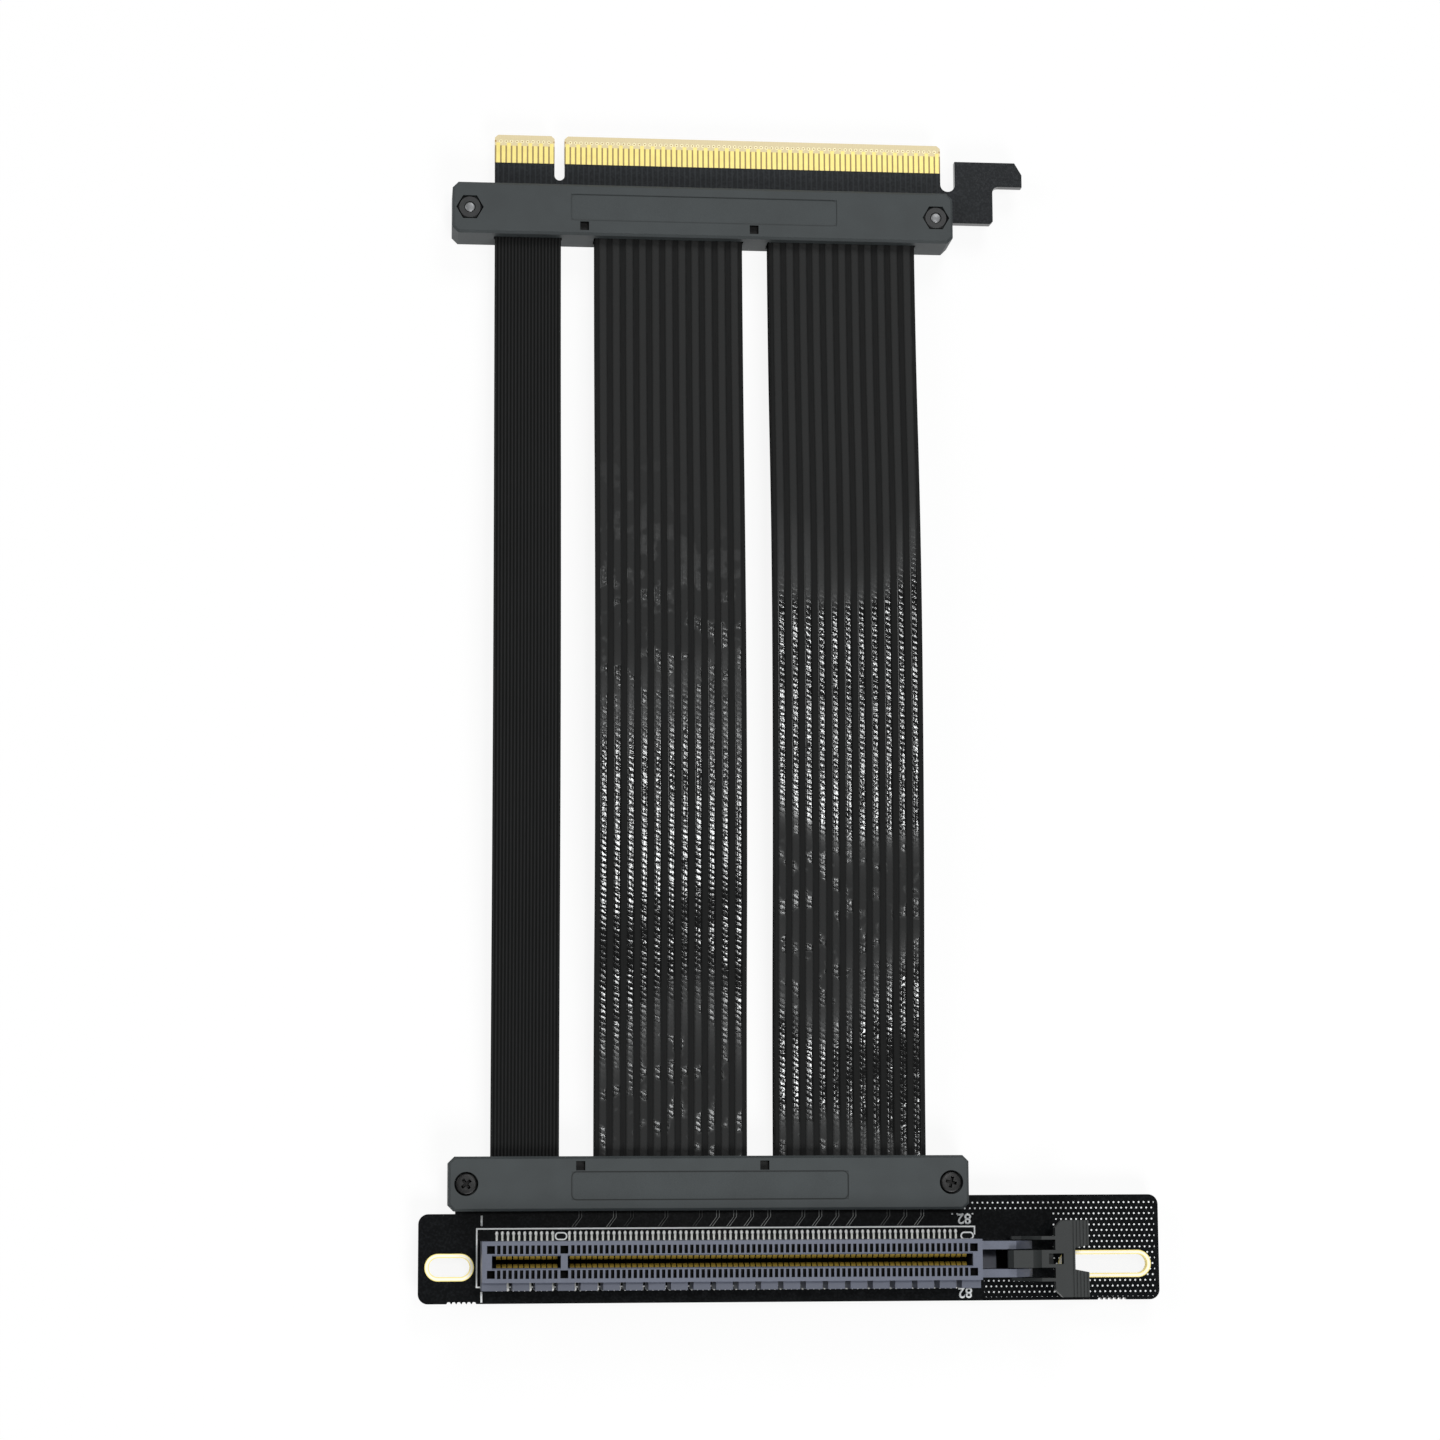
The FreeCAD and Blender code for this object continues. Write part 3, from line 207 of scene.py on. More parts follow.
class RiserFinish(bpy.types.PropertyGroup):
    """Colours of the part's finishes."""

    cover: colour("Cover", "Moulded clamshells", (0.041, 0.048, 0.05))
    slot: colour("Card slot", "Moulded slot body", (0.098, 0.11, 0.15))
    latch: colour("Latch", "Moulded card latch", (0.026, 0.029, 0.029))
    board: colour("Board", "Black solder mask", (0.004, 0.0045, 0.005))
    ink: colour("Print", "White print on the boards", (0.78, 0.8, 0.8))
    laminate: colour("Laminate", "Bare board at the tongue", (0.72, 0.61, 0.36))
    gilt: colour("Gilding", "Gilt fingers and rims", (0.98, 0.82, 0.27))
    contact: colour("Contact", "Spring contacts inside the slot", (0.34, 0.24, 0.04))
    tin: colour("Tin", "Solder beads", (0.88, 0.89, 0.88))
    foot: colour("Foot", "Dull feet of the contacts", (0.5, 0.51, 0.48))
    # Paler cream band of a gilt rim, between its gold edges
    cream: colour("Cream", "Worn middle of a gilt rim", (0.9, 0.86, 0.74))
    ring: colour("Ring", "Pale gilt rings on the tongue", (0.97, 0.9, 0.58))
    pit: colour("Pit", "Holes inside the gilt rings", (0.4, 0.23, 0.05))
    nut: colour("Nut", "Blackened nuts", (0.04, 0.041, 0.042))
    screw: colour("Screw", "Blackened screws", (0.017, 0.0173, 0.0175))
    bright: colour("Bright steel", "Cut ends of the screws", (0.2, 0.204, 0.21))
    vinyl: colour("Vinyl", "Ribbon jackets", (0.0045, 0.0048, 0.0048))


class RiserSizes(bpy.types.PropertyGroup):
    """Sizes of the pieces that the scene adds."""

    ribbon_steps: IntProperty(
        name="Ribbon steps", description="Steps along a ribbon", default=64, min=8
    )
    head_height: length("Head height", "Screw heads", 0.0012)
    shank_radius: length("Shank radius", "Screw shanks", 0.001)
    recess_length: length("Recess length", "Two arms of a screw's cross recess", 0.0026)
    recess_width: length("Recess width", "One arm of a screw's cross recess", 0.0007)
    recess_depth: length("Recess depth", "Cross recess of a screw", 0.0009)
    rim_width: length("Rim width", "Gilt rim round a mounting slot", 0.00075)
    rim_lining: length("Rim lining", "Gilding on the wall of a mounting slot", 0.00005)
    rim_height: length("Rim height", "Gilding above the boards", 0.00003)
    solder_width: length("Solder width", "Solder bead across a contact", 0.0006)
    solder_length: length("Solder length", "Solder bead along a contact", 0.00085)
    solder_height: length("Solder height", "Solder bead above the board", 0.0003)
    ring_radius: length("Ring radius", "Gilt rings between the fingers", 0.00033)
    ring_gap: length("Ring gap", "Gilt rings past the ends of the fingers", 0.0003)
    print_line: length("Print line", "Width of a printed line", 0.00026)
    print_height: length("Print height", "Printed numbers above the board", 0.00002)
    number_height: length("Number height", "Printed contact numbers", 0.0026)
    number_weight: length("Number weight", "Thickening of the printed numbers", 0.00005)
    contact_width: length("Contact width", "Spring contact along the slot", 0.00078)
    foot_width: length("Foot width", "Foot of a contact along the slot", 0.00036)
    contact_gauge: length("Contact gauge", "Sheet of a spring contact", 0.0002)
    contact_bend: length("Contact bend", "Rounding of a contact's bends", 0.0007)


class RiserStage(bpy.types.PropertyGroup):
    """Floor, light and camera."""

    floor: colour("Floor", "Pale floor under the part", (0.92, 0.92, 0.92))
    floor_lift: FloatProperty(
        name="Floor lift", description="How far the floor goes to white", default=0.9, max=1
    )
    key_power: power("Key", "Power of the front softbox", 3.9)
    glint_power: power("Glint", "Power of the strip lamp above", 1.15)
    back_power: power("Back", "Power of the back softbox", 2.3)
    side_power: power("Side", "Power of the side softbox", 2.6)
    sky: FloatProperty(
        name="Sky", description="Strength of the even light all round", default=0.14, min=0
    )
    lens: FloatProperty(name="Lens", description="Camera lens in mm", default=85.2, min=1)


def deselect():
    if bpy.context.mode != "OBJECT":
        bpy.ops.object.mode_set(mode="OBJECT")
    bpy.ops.object.select_all(action="DESELECT")


def activate(piece):
    """Select one piece alone."""
    deselect()
    piece.select_set(True)
    bpy.context.view_layer.objects.active = piece


def named(name):
    """The active piece, under its own name."""
    piece = bpy.context.object
    piece.name = piece.data.name = name
    return piece


def pick(piece, wanted, kind="FACE"):
    """Go to edit mode with only the faces or vertices selected whose place and normal pass a test."""
    activate(piece)
    bpy.ops.object.mode_set(mode="EDIT")
    bpy.ops.mesh.select_mode(type=kind)
    bpy.ops.mesh.select_all(action="DESELECT")
    bpy.ops.object.mode_set(mode="OBJECT")
    mesh = piece.data
    if kind == "VERT":
        items = [(vertex, vertex.co, vertex.normal) for vertex in mesh.vertices]
    else:
        items = [(face, face.center, face.normal) for face in mesh.polygons]
    found = 0
    for item, place, normal in items:
        item.select = bool(wanted(place, normal))
        found += item.select
    if not found:
        raise ValueError(f"nothing to shape on {piece.name}")
    bpy.ops.object.mode_set(mode="EDIT")


def modifier(piece, kind, **settings):
    """Add a modifier and apply it."""
    activate(piece)
    added = piece.modifiers.new(kind.title(), kind)
    for key, value in settings.items():
        setattr(added, key, value)
    bpy.ops.object.modifier_apply(modifier=added.name)


def settle(piece):
    """Put a piece's place, turn and scale into its mesh."""
    activate(piece)
    bpy.ops.object.transform_apply(location=True, rotation=True, scale=True)
    return piece


def section_heights(section, columns):
    """A ribbon's height at each column, down to nothing at its edges."""
    heights = [section[index % len(section)] for index in range(columns + 1)]
    heights[0] = heights[-1] = 0.0
    return heights


def in_row(piece, count):
    """Repeat a piece along X at the contacts' pitch."""
    modifier(
        piece,
        "ARRAY",
        count=count,
        use_relative_offset=False,
        use_constant_offset=True,
        constant_offset_displace=(PIN_PITCH, 0, 0),
    )


def join(pieces, name):
    deselect()
    for piece in pieces:
        piece.select_set(True)
    bpy.context.view_layer.objects.active = pieces[0]
    if len(pieces) > 1:
        bpy.ops.object.join()
    return named(name)


def copied(model, place, turn=(0, 0, 0)):
    """A copy of a modelled piece, with its own mesh, put in its place."""
    piece = bpy.data.objects.new(model.name, model.data.copy())
    bpy.context.scene.collection.objects.link(piece)
    piece.location = place
    piece.rotation_euler = turn
    return settle(piece)


def cut(piece, cutter):
    modifier(piece, "BOOLEAN", operation="DIFFERENCE", object=cutter, solver="EXACT")
    bpy.data.objects.remove(cutter)


def smooth(piece, angle=35):
    activate(piece)
    bpy.ops.object.shade_smooth_by_angle(angle=math.radians(angle))


def dress(piece, material):
    """Give a new piece its material and a ride on the cable."""
    piece.data.materials.clear()
    piece.data.materials.append(material)
    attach(piece, CABLE_BODY)


def paint(node, material):
    """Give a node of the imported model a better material."""
    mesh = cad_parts[node].data
    mesh.materials.clear()
    mesh.materials.append(material)


class Shade:
    """One value in a material; arithmetic on it adds Math nodes."""

    def __init__(self, graph, socket):
        self.graph = graph
        self.socket = socket

    def math(self, operation, *others):
        return self.graph.add("ShaderNodeMath", {"operation": operation}, self, *others)

    def reflected(self, operation, other):
        return self.graph.add("ShaderNodeMath", {"operation": operation}, other, self)

    def __add__(self, other):
        return self.math("ADD", other)

    __radd__ = __add__

    def __mul__(self, other):
        return self.math("MULTIPLY", other)

    __rmul__ = __mul__

    def __sub__(self, other):
        return self.math("SUBTRACT", other)

    def __rsub__(self, other):
        return self.reflected("SUBTRACT", other)

    def __truediv__(self, other):
        return self.math("DIVIDE", other)

    def __gt__(self, other):
        return self.math("GREATER_THAN", other)

    def __lt__(self, other):
        return self.math("LESS_THAN", other)

    def __abs__(self):
        return self.math("ABSOLUTE")

    def fraction(self):
        return self.math("FRACT")

    def between(self, low, high):
        return (self > low) * (self < high)

    def floor(self):
        return self.math("FLOOR")

    def root(self):
        return self.math("SQRT")

    def least(self, other):
        return self.math("MINIMUM", other)

    def either(self, other):
        return self.math("MAXIMUM", other)


class Graph:
    """The nodes of one material round a Principled shader."""

    def __init__(self, name, roughness=0.5, metallic=0.0, specular=0.5):
        self.material = bpy.data.materials.new(name)
        self.material.use_nodes = True
        self.tree = self.material.node_tree
        self.tree.nodes.clear()
        self.surface = self.tree.nodes.new("ShaderNodeBsdfPrincipled")
        constants = {"Roughness": roughness, "Metallic": metallic, "Specular IOR Level": specular}
        for socket, value in constants.items():
            self.surface.inputs[socket].default_value = value
        output = self.tree.nodes.new("ShaderNodeOutputMaterial")
        self.tree.links.new(self.surface.outputs["BSDF"], output.inputs["Surface"])
        self.place = self.add("ShaderNodeTexCoord", output="Object")

    def add(self, kind, settings=None, *values, output=0, **named_values):
        """One node: its settings first, then its sockets by order or by name."""
        node = self.tree.nodes.new(kind)
        for key, value in (settings or {}).items():
            setattr(node, key, value)
        for key, value in [*enumerate(values), *named_values.items()]:
            self.put(node.inputs[key if isinstance(key, int) else key.title()], value)
        return Shade(self, node.outputs[output])

    def put(self, socket, value):
        """Link a value to a socket, or set the socket itself."""
        if isinstance(value, Shade):
            self.tree.links.new(value.socket, socket)
        else:
            socket.default_value = value

    def tint(self, socket, value):
        """Put a colour in a socket."""
        self.put(socket, value if isinstance(value, Shade) else (*value, 1.0))

    def vector(self, operation, first, second):
        return self.add("ShaderNodeVectorMath", {"operation": operation}, first, second)

    def along(self, origin=(0, 0, 0)):
        """X, Y and Z from a point of the model, in millimetres."""
        moved = self.vector("SUBTRACT", self.place, tuple(origin))
        parts = self.add("ShaderNodeSeparateXYZ", None, self.vector("DIVIDE", moved, (MM, MM, MM)))
        return [Shade(self, parts.socket.node.outputs[axis]) for axis in "XYZ"]

    def noise(self, scale, detail=2.0, vector=None):
        place = vector or self.place
        return self.add("ShaderNodeTexNoise", None, vector=place, scale=scale, detail=detail)

    def mix(self, share, first, second):
        """A colour between two colours."""
        mixed = self.add("ShaderNodeMix", {"data_type": "RGBA"}, share, output=2)
        sockets = mixed.socket.node.inputs
        self.tint(sockets[6], first)
        self.tint(sockets[7], second)
        return mixed

    def ramp(self, value, low, high):
        """A smooth step from 0 to 1."""
        return self.add("ShaderNodeMapRange", {"interpolation_type": "SMOOTHSTEP"}, value, low, high)

    def linked(self, name):
        """What already feeds a socket of the surface."""
        return Shade(self, self.surface.inputs[name].links[0].from_socket)

    def link(self, name, value):
        self.tree.links.new(value.socket, self.surface.inputs[name])

    def base(self, value):
        self.tint(self.surface.inputs["Base Color"], value)

    def bump(self, height, distance, strength=1.0):
        normal = self.add("ShaderNodeBump", None, height=height, distance=distance, strength=strength)
        self.link("Normal", normal)


def toned(tint, share):
    """A tint made darker or paler, and no paler than white."""
    return tuple(min(1.0, share * channel) for channel in tint)


def box_of(x, y, left, right, low, high):
    return x.between(left, right) * y.between(low, high)


def round_box(x, y, half_x, half_y, corner):
    """Distance from the edge of a rounded box, less than 0 inside it."""
    across, up = abs(x) - (half_x - corner), abs(y) - (half_y - corner)
    out_x, out_y = across.either(0.0), up.either(0.0)
    return (out_x * out_x + out_y * out_y).root() + across.either(up).least(0.0) - corner


def any_of(masks):
    """Where any one of several masks is."""
    first, *others = masks
    for mask in others:
        first = first.either(mask)
    return first


def moulded(name, tint, rough=0.5, variation=0.12, specular=0.5):
    """Moulded plastic with a fine spark-eroded grain."""
    graph = Graph(name, specular=specular)
    fine = graph.noise(1 / GRAIN, 1.0)
    broad = graph.noise(160.0, 3.0)
    grain = graph.ramp(fine * 0.6 + broad * 0.4, 0.35, 0.65)
    graph.base(graph.mix(grain, toned(tint, 1 - variation), toned(tint, 1 + variation)))
    graph.link("Roughness", broad * 0.16 + (rough - 0.08))
    graph.bump(fine, GRAIN_DEPTH, 0.6)
    return graph


def metal(name, tint, rough=0.3, variation=0.1, metallic=1.0):
    """Plated or blackened metal with slightly uneven polish."""
    graph = Graph(name, metallic=metallic)
    uneven = graph.noise(900.0, 3.0)
    graph.base(graph.mix(uneven, toned(tint, 1 - variation), tint))
    graph.link("Roughness", uneven * 0.2 + (rough - 0.1))
    return graph


def solder_mask(graph, speck, tint, darker, paler):
    """Solder mask with fine specks."""
    return graph.mix(graph.ramp(speck, 0.4, 0.75), toned(tint, darker), toned(tint, paler))


def cover_finish(end, finish):
    """Grained moulding with a line of painted shade round its label panel's recess and painted shade in
    its windows.
    """
    low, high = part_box(f"{end}_cover_front")
    towards_board = -1 if end == "socket" else 1
    middle = (low + high) / 2
    tint = tuple(finish.cover)
    graph = moulded(f"{end}_cover_moulding", tint, rough=0.58, variation=0.16, specular=0.3)
    x, y, z = graph.along((middle.x, middle.y, high.z))
    # Painted shade: a dark line where the label panel's recess has its walls
    edge = round_box(x, y - PANEL_SHIFT * towards_board, *PANEL_HALF, PANEL_CORNER)
    line = (abs(edge) < PANEL_SHADE_HALF) * (z > PANEL_SKIN)
    cable_side = (high.y - middle.y) / MM - WINDOW_INSET
    # Painted shade, near black, inside the windows
    in_line = (abs(y + cable_side * towards_board) < WINDOW_HALF) * z.between(*WINDOW_DEPTHS)
    window_shade = any_of([(abs(x - place) < WINDOW_HALF) * in_line for place in WINDOWS[end]])
    panel_shaded = graph.mix(line * PANEL_SHADE_SHARES[end], graph.linked("Base Color"), PANEL_SHADE_TINT)
    graph.base(graph.mix(window_shade, panel_shaded, DEEP_SHADE))
    return graph.material


def socket_print(x, y, line):
    """White outline of the slot, marks at its pegs and a staggered field of dots."""
    left, right, low, high = OUTLINE
    strokes = [
        box_of(x, y, left, right, high, high + line),
        box_of(x, y, left, left + line, low, high),
        box_of(x, y, left, right, low, low + line),
        box_of(x, y, right - line, right, OUTLINE_TAIL, high),
    ]
    for middle, level, half in PEG_MARKS:
        past = (abs(x - middle) - (half - PEG_MARK_RADIUS)).either(0.0)
        rise = y - level
        from_line = (past * past + rise * rise).root() - PEG_MARK_RADIUS
        strokes.append(abs(from_line) < 0.5 * line)
    field = any_of([box_of(x, y, *area) for area in DOT_FIELDS])
    field = field * (1.0 - box_of(x, y, *DOT_CLEARING))
    for shift in (0.0, 0.5):
        across = ((x / DOT_PITCH + shift).fraction() - 0.5) * DOT_PITCH
        along = ((y / (2 * DOT_ROW) + shift).fraction() - 0.5) * (2 * DOT_ROW)
        strokes.append(field * (across * across + along * along < DOT_RADIUS**2))
    return any_of(strokes)


def socket_traces(graph, x, y):
    """Pairs of traces that leave the cover straight, then slant to the contacts; some show more."""
    slanted = x + (TRACE_BEND - y).either(0.0) * TRACE_SLANT
    group = slanted / TRACE_GROUP
    local = group.fraction() * TRACE_GROUP
    number = group.floor() + 0.5
    chance = graph.add("ShaderNodeTexWhiteNoise", {"noise_dimensions": "1D"}, w=number)
    lines = any_of([abs(local - place) < TRACE_HALF for place in TRACE_PAIR])
    return lines * graph.ramp(chance, 0.3, 0.9) * box_of(x, y, *TRACE_AREA)


def socket_board_finish(finish, sizes):
    """Black solder mask with white print over faint traces."""
    graph = Graph("socket_board_mask", specular=0.16)
    x, y, z = graph.along(SLOT)
    top = z > TOP_SKIN
    ink = socket_print(x, y, sizes.print_line / MM) * top
    trace = socket_traces(graph, x, y) * top
    speck = graph.noise(2600.0, 1.0)
    mask = solder_mask(graph, speck, finish.board, 1.0, 2.0)
    graph.base(graph.mix(ink, graph.mix(trace, mask, TRACE_TINT), tuple(finish.ink)))
    graph.link("Roughness", ink * 0.35 + speck * 0.06 + 0.1)
    graph.bump(ink + trace * 0.8 + speck * 0.1, 0.00002, 0.5)
    return graph.material


def plug_board_finish(finish, sizes):
    """Black solder mask that stops at the fingers, with bare laminate up to the tip, darker between the
    fingers with painted shade.
    """
    graph = Graph("plug_board_mask", specular=0.4)
    x, y, _ = graph.along(TONGUE)
    tongue = x < TONGUE_RIGHT
    bare = (y > MASK_EDGE) * tongue
    pale = (y > PALE_EDGE) * tongue
    speck = graph.noise(2600.0, 1.0)
    bands = {"bands_direction": "X"}
    weave = graph.add("ShaderNodeTexWave", bands, vector=graph.place, scale=900.0, distortion=1.0)
    mask = solder_mask(graph, speck, finish.board, 3.5, 5.0)
    stripes = (abs(x.fraction() - 0.5) < STRIPE_HALF) * y.between(*STRIPE_SPAN) * tongue
    traced = graph.mix(stripes, mask, toned(finish.board, 6.0))
    # Bare laminate between the fingers, darkened by painted shade
    shaded_laminate = tuple(share * channel for share, channel in zip(SHADED_LAMINATE_SHARES, finish.laminate))
    cloth = graph.mix(weave * 0.16, tuple(finish.laminate), toned(finish.laminate, 0.7))
    bed = graph.mix(pale, graph.mix(bare, traced, shaded_laminate), cloth)
    across = (x + 0.5).fraction() - 0.5
    along = y - (FINGERS[1].y + sizes.ring_gap - TONGUE.y) / MM
    pit = (across * across + along * along < (0.6 * sizes.ring_radius / MM) ** 2) * tongue
    graph.base(graph.mix(pit, bed, tuple(finish.pit)))
    graph.link("Roughness", bare * 0.3 + speck * 0.08 + 0.14)
    graph.bump(speck, 0.000008, 0.4)
    return graph.material


def slot_finish(finish):
    """Purple-grey moulding with painted shade, near black, in its contact openings and its inside."""
    graph = moulded("slot_moulding", tuple(finish.slot), rough=0.42, variation=0.1)
    x, y, z = graph.along(SLOT)
    top = (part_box("card_slot_body")[1].z - SLOT.z) / MM
    lowest, highest = OPENING_DEPTHS
    in_rows = abs(y).between(*OPENING_SPAN) * (abs(x) < OPENING_END)
    opening = in_rows * z.between(top + lowest, top + highest)
    half_x, half_y = INSIDE_HALF
    inside = (abs(x) < half_x) * (abs(y) < half_y) * (z < top + INSIDE_DEPTH)
    # Painted shade, near black, in the slot's openings and its inside
    shade = opening.either(inside)
    graph.base(graph.mix(shade, graph.linked("Base Color"), DEEP_SHADE))
    graph.link("Roughness", graph.linked("Roughness") + shade * 0.5)
    return graph.material


def contact_finish(finish):
    """Gilt spring contacts with tinned feet."""
    graph = metal("spring_contact", tuple(finish.contact), rough=0.42, metallic=0.15)
    z = graph.along(SLOT)[2]
    graph.base(graph.mix(z < FOOT_TOP, graph.linked("Base Color"), tuple(finish.foot)))
    return graph.material


def rim_finish(side, finish, middle, reach, radius, wide):
    """Gilding with a paler cream band between its two gold edges."""
    graph = metal(f"gilt_rim_{side}", tuple(finish.gilt), rough=0.4, metallic=0.3)
    x, y, _ = graph.along(middle)
    along = (abs(x) - reach / MM).either(0.0)
    out = (along * along + y * y).root()
    cream_band = out.between((radius - 0.8 * wide) / MM, (radius - 0.22 * wide) / MM)
    graph.base(graph.mix(cream_band, graph.linked("Base Color"), tuple(finish.cream)))
    return graph.material


def screw_finish(finish):
    """Blackened screws with bright cut ends and painted shade in their recesses."""
    graph = metal("blackened_screw", tuple(finish.screw), rough=0.4, variation=0.3, metallic=0.6)
    z = graph.along()[2]
    lowest, highest = CUT_ENDS
    ends = (z > highest).either(z < lowest)
    # Painted shade, near black, at the heights of the cross recesses
    recess_shade = any_of([z.between(*depths) for depths in SHADED_RECESSES])
    cut_steel = graph.mix(ends, graph.linked("Base Color"), tuple(finish.bright))
    graph.base(graph.mix(recess_shade, cut_steel, DEEP_SHADE))
    return graph.material


def lane_finish(side, tint, left, pitch):
    """Black vinyl: narrow rails between wire pairs with a spiral wrap, and painted glints: glossy
    metallic zones placed where the lamps' glints fall.
    """
    graph = Graph(f"lane_vinyl_{side}", specular=0.25)
    x, y, _ = graph.along((left, FREE_START, 0))
    unit = (x / (pitch / MM)).fraction()
    pair = graph.ramp(unit, *PAIR_RISE) * (1.0 - graph.ramp(unit, *PAIR_FALL))
    crumple = graph.noise(1250.0, 2.0)
    slack = graph.noise(260.0, 2.0)
    sway = graph.noise(45.0, 1.0)
    drift = y + (graph.noise(34.0, 1.0) - 0.5) * 60.0
    zones = []
    for start, full, fading, end in GLINT_ZONES[side]:
        zones.append(graph.ramp(drift, start, full) * (1.0 - graph.ramp(drift, fading, end)))
    # Small spots of painted glints lie between the glint zones, but not towards the plug
    glint_spots = graph.ramp(slack, 0.5, 0.6) * (1.0 - graph.ramp(drift, *GLINT_SPOTS_FADE))
    glint_share = any_of([*zones, glint_spots * 0.85]) * 0.76 + 0.24
    turn = (y * WRAP_TURNS + unit * 1.3 + crumple * 0.8).fraction() - 0.5
    wrap = (1.0 - turn * turn * 4.0) * 0.066 + crumple * 0.17
    ridge = (1.0 - abs(unit - RIDGE) / RIDGE_HALF).either(0.0)
    # A thin line near the pair's edge, where glints are painted in dashes
    glint_line = (1.0 - abs(unit - GLINT_LINE) / GLINT_LINE_HALF).either(0.0)
    stretched = graph.vector("MULTIPLY", graph.place, (1.0, 0.3, 1.0))
    dashes = graph.ramp(graph.noise(900.0, 1.0, stretched), 0.42, 0.6)
    # Painted glints: glossy metallic vinyl in the glint zones, in the glint spots and along the glint
    # line
    glossy = (pair * glint_share).either(glint_line * dashes * 0.7)
    vinyl = graph.mix(slack * pair, tuple(tint), toned(tint, 1.7))
    graph.base(graph.mix(glossy, vinyl, GLINT_TINT))
    graph.link("Metallic", glossy)
    graph.link("Roughness", 0.8 - glossy * 0.68 + slack * 0.06)
    crinkles = wrap * pair * (glint_share * 0.35 + 0.65) + ridge * dashes * 0.1
    graph.bump(crinkles + slack * 0.5 + sway * 3.0, WRAP_DEPTH)
    return graph.material


def wire_finish(tint, left, pitch):
    """Matte black vinyl over a row of fine wires, with painted highlights along the wires' crests and
    painted shade in the grooves between them.
    """
    graph = Graph("sideband_vinyl", specular=0.14)
    unit = (graph.along((left, 0, 0))[0] / (pitch / MM)).fraction()
    crest = 1.0 - graph.ramp(abs(unit - 0.5), 0.15, 0.45)
    fine = graph.noise(3000.0, 2.0)
    slack = graph.noise(90.0, 2.0)
    # Painted light: the wires' crests are paler and the grooves between them darker
    graph.base(graph.mix(crest * 0.8 + slack * 0.2, toned(tint, 0.3), toned(tint, 2.2)))
    graph.link("Roughness", fine * 0.14 + 0.75 - crest * 0.33)
    graph.bump(fine, 0.000006, 0.4)
    return graph.material


def ribbon_line(node):
    """The ribbon's middle line, a smooth curve on the route's points, and the points read from it."""
    low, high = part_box(node)
    route, lift = ROUTES[node]
    half = (SIDEBAND_THICKNESS if node == "sideband_ribbon" else LANE_THICKNESS) / 2
    level = low.z + half
    crest = max(rise for share, rise in route)
    points = [(FREE_START - LAP, level)]
    for share, rise in route:
        along = FREE_START + share * (FREE_END - FREE_START)
        points.append((along, level + rise + lift * rise / crest))
    points.append((FREE_END + LAP, level))
    curve = bpy.data.curves.new(f"{node}_line", "CURVE")
    curve.dimensions = "3D"
    curve.twist_mode = "Z_UP"
    curve.resolution_u = 24
    spline = curve.splines.new("NURBS")
    spline.points.add(len(points) - 1)
    middle = (low.x + high.x) / 2
    for point, (y, z) in zip(spline.points, points):
        point.co = (middle, y, z, 1.0)
    spline.order_u = 3
    spline.use_endpoint_u = True
    line = bpy.data.objects.new(f"{node}_line", curve)
    bpy.context.scene.collection.objects.link(line)
    bpy.context.view_layer.update()
    read = bpy.data.meshes.new_from_object(line)
    path = [vertex.co.copy() for vertex in read.vertices]
    bpy.data.meshes.remove(read)
    return line, path, half


def shape_ribbon(node, columns, heights, steps):
    """A grid raised to the ribbon's section, doubled below, capped and laid on its line."""
    low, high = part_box(node)
    line, path, half = ribbon_line(node)
    run = sum((b - a).length for a, b in zip(path, path[1:]))
    width = high.x - low.x
    step = width / columns
    deselect()
    bpy.ops.mesh.primitive_grid_add(x_subdivisions=steps, y_subdivisions=columns, size=1)
    strip = named(f"{node}_ribbed")
    strip.scale = (run, width, 1)
    strip.location = (run / 2, 0, 0)
    settle(strip)
    for height in sorted(set(heights) - {0.0}):

        def level(place, normal):
            return heights[round((place.y + width / 2) / step)] == height

        pick(strip, level, "VERT")
        bpy.ops.transform.translate(value=(0, 0, height * half))
    modifier(strip, "MIRROR", use_axis=(False, False, True), use_clip=True, merge_threshold=1e-6)
    modifier(strip, "SUBSURF", levels=1, render_levels=1)
    for end in (0, run):
        pick(strip, lambda place, normal: abs(place.x - end) < 1e-6, "VERT")
        bpy.ops.mesh.edge_face_add()
    bpy.ops.mesh.select_all(action="SELECT")
    bpy.ops.mesh.normals_make_consistent(inside=False)
    modifier(strip, "CURVE", object=line, deform_axis="POS_X")
    bpy.data.objects.remove(line)
    smooth(strip, 60)
    return strip, path, run, width


def lay_ribbon(strip, node, material):
    """Put a shaped ribbon in its node's place, and hide the node."""
    dress(strip, material)
    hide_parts(node)


def floor_paper(tint, lift):
    """White paper that is lifted towards white where it is seen, and keeps its shadow."""
    graph = Graph("floor_paper", roughness=0.9, specular=0.1)
    graph.base(tint)
    kinds = ("Camera", "Glossy", "Transmission")
    rays = [graph.add("ShaderNodeLightPath", output=f"Is {kind} Ray") for kind in kinds]
    seen = any_of(rays) * lift
    glow = graph.add("ShaderNodeEmission", None, (1.0, 1.0, 1.0, 1.0), 1.0)
    paper = Shade(graph, graph.surface.outputs["BSDF"])
    both = graph.add("ShaderNodeMixShader", None, seen, paper, glow)
    output = next(node for node in graph.tree.nodes if node.type == "OUTPUT_MATERIAL")
    graph.tree.links.new(both.socket, output.inputs["Surface"])
    return graph.material


def softbox(name, power, place, size):
    """A soft rectangular lamp that faces the middle of the part."""
    lamp = bpy.data.lights.new(name, "AREA")
    lamp.energy = power
    lamp.shape = "RECTANGLE"
    lamp.size, lamp.size_y = size
    stand = bpy.data.objects.new(name, lamp)
    stand.location = place
    stand.rotation_euler = (-stand.location).to_track_quat("-Z", "Y").to_euler()
    bpy.context.scene.collection.objects.link(stand)


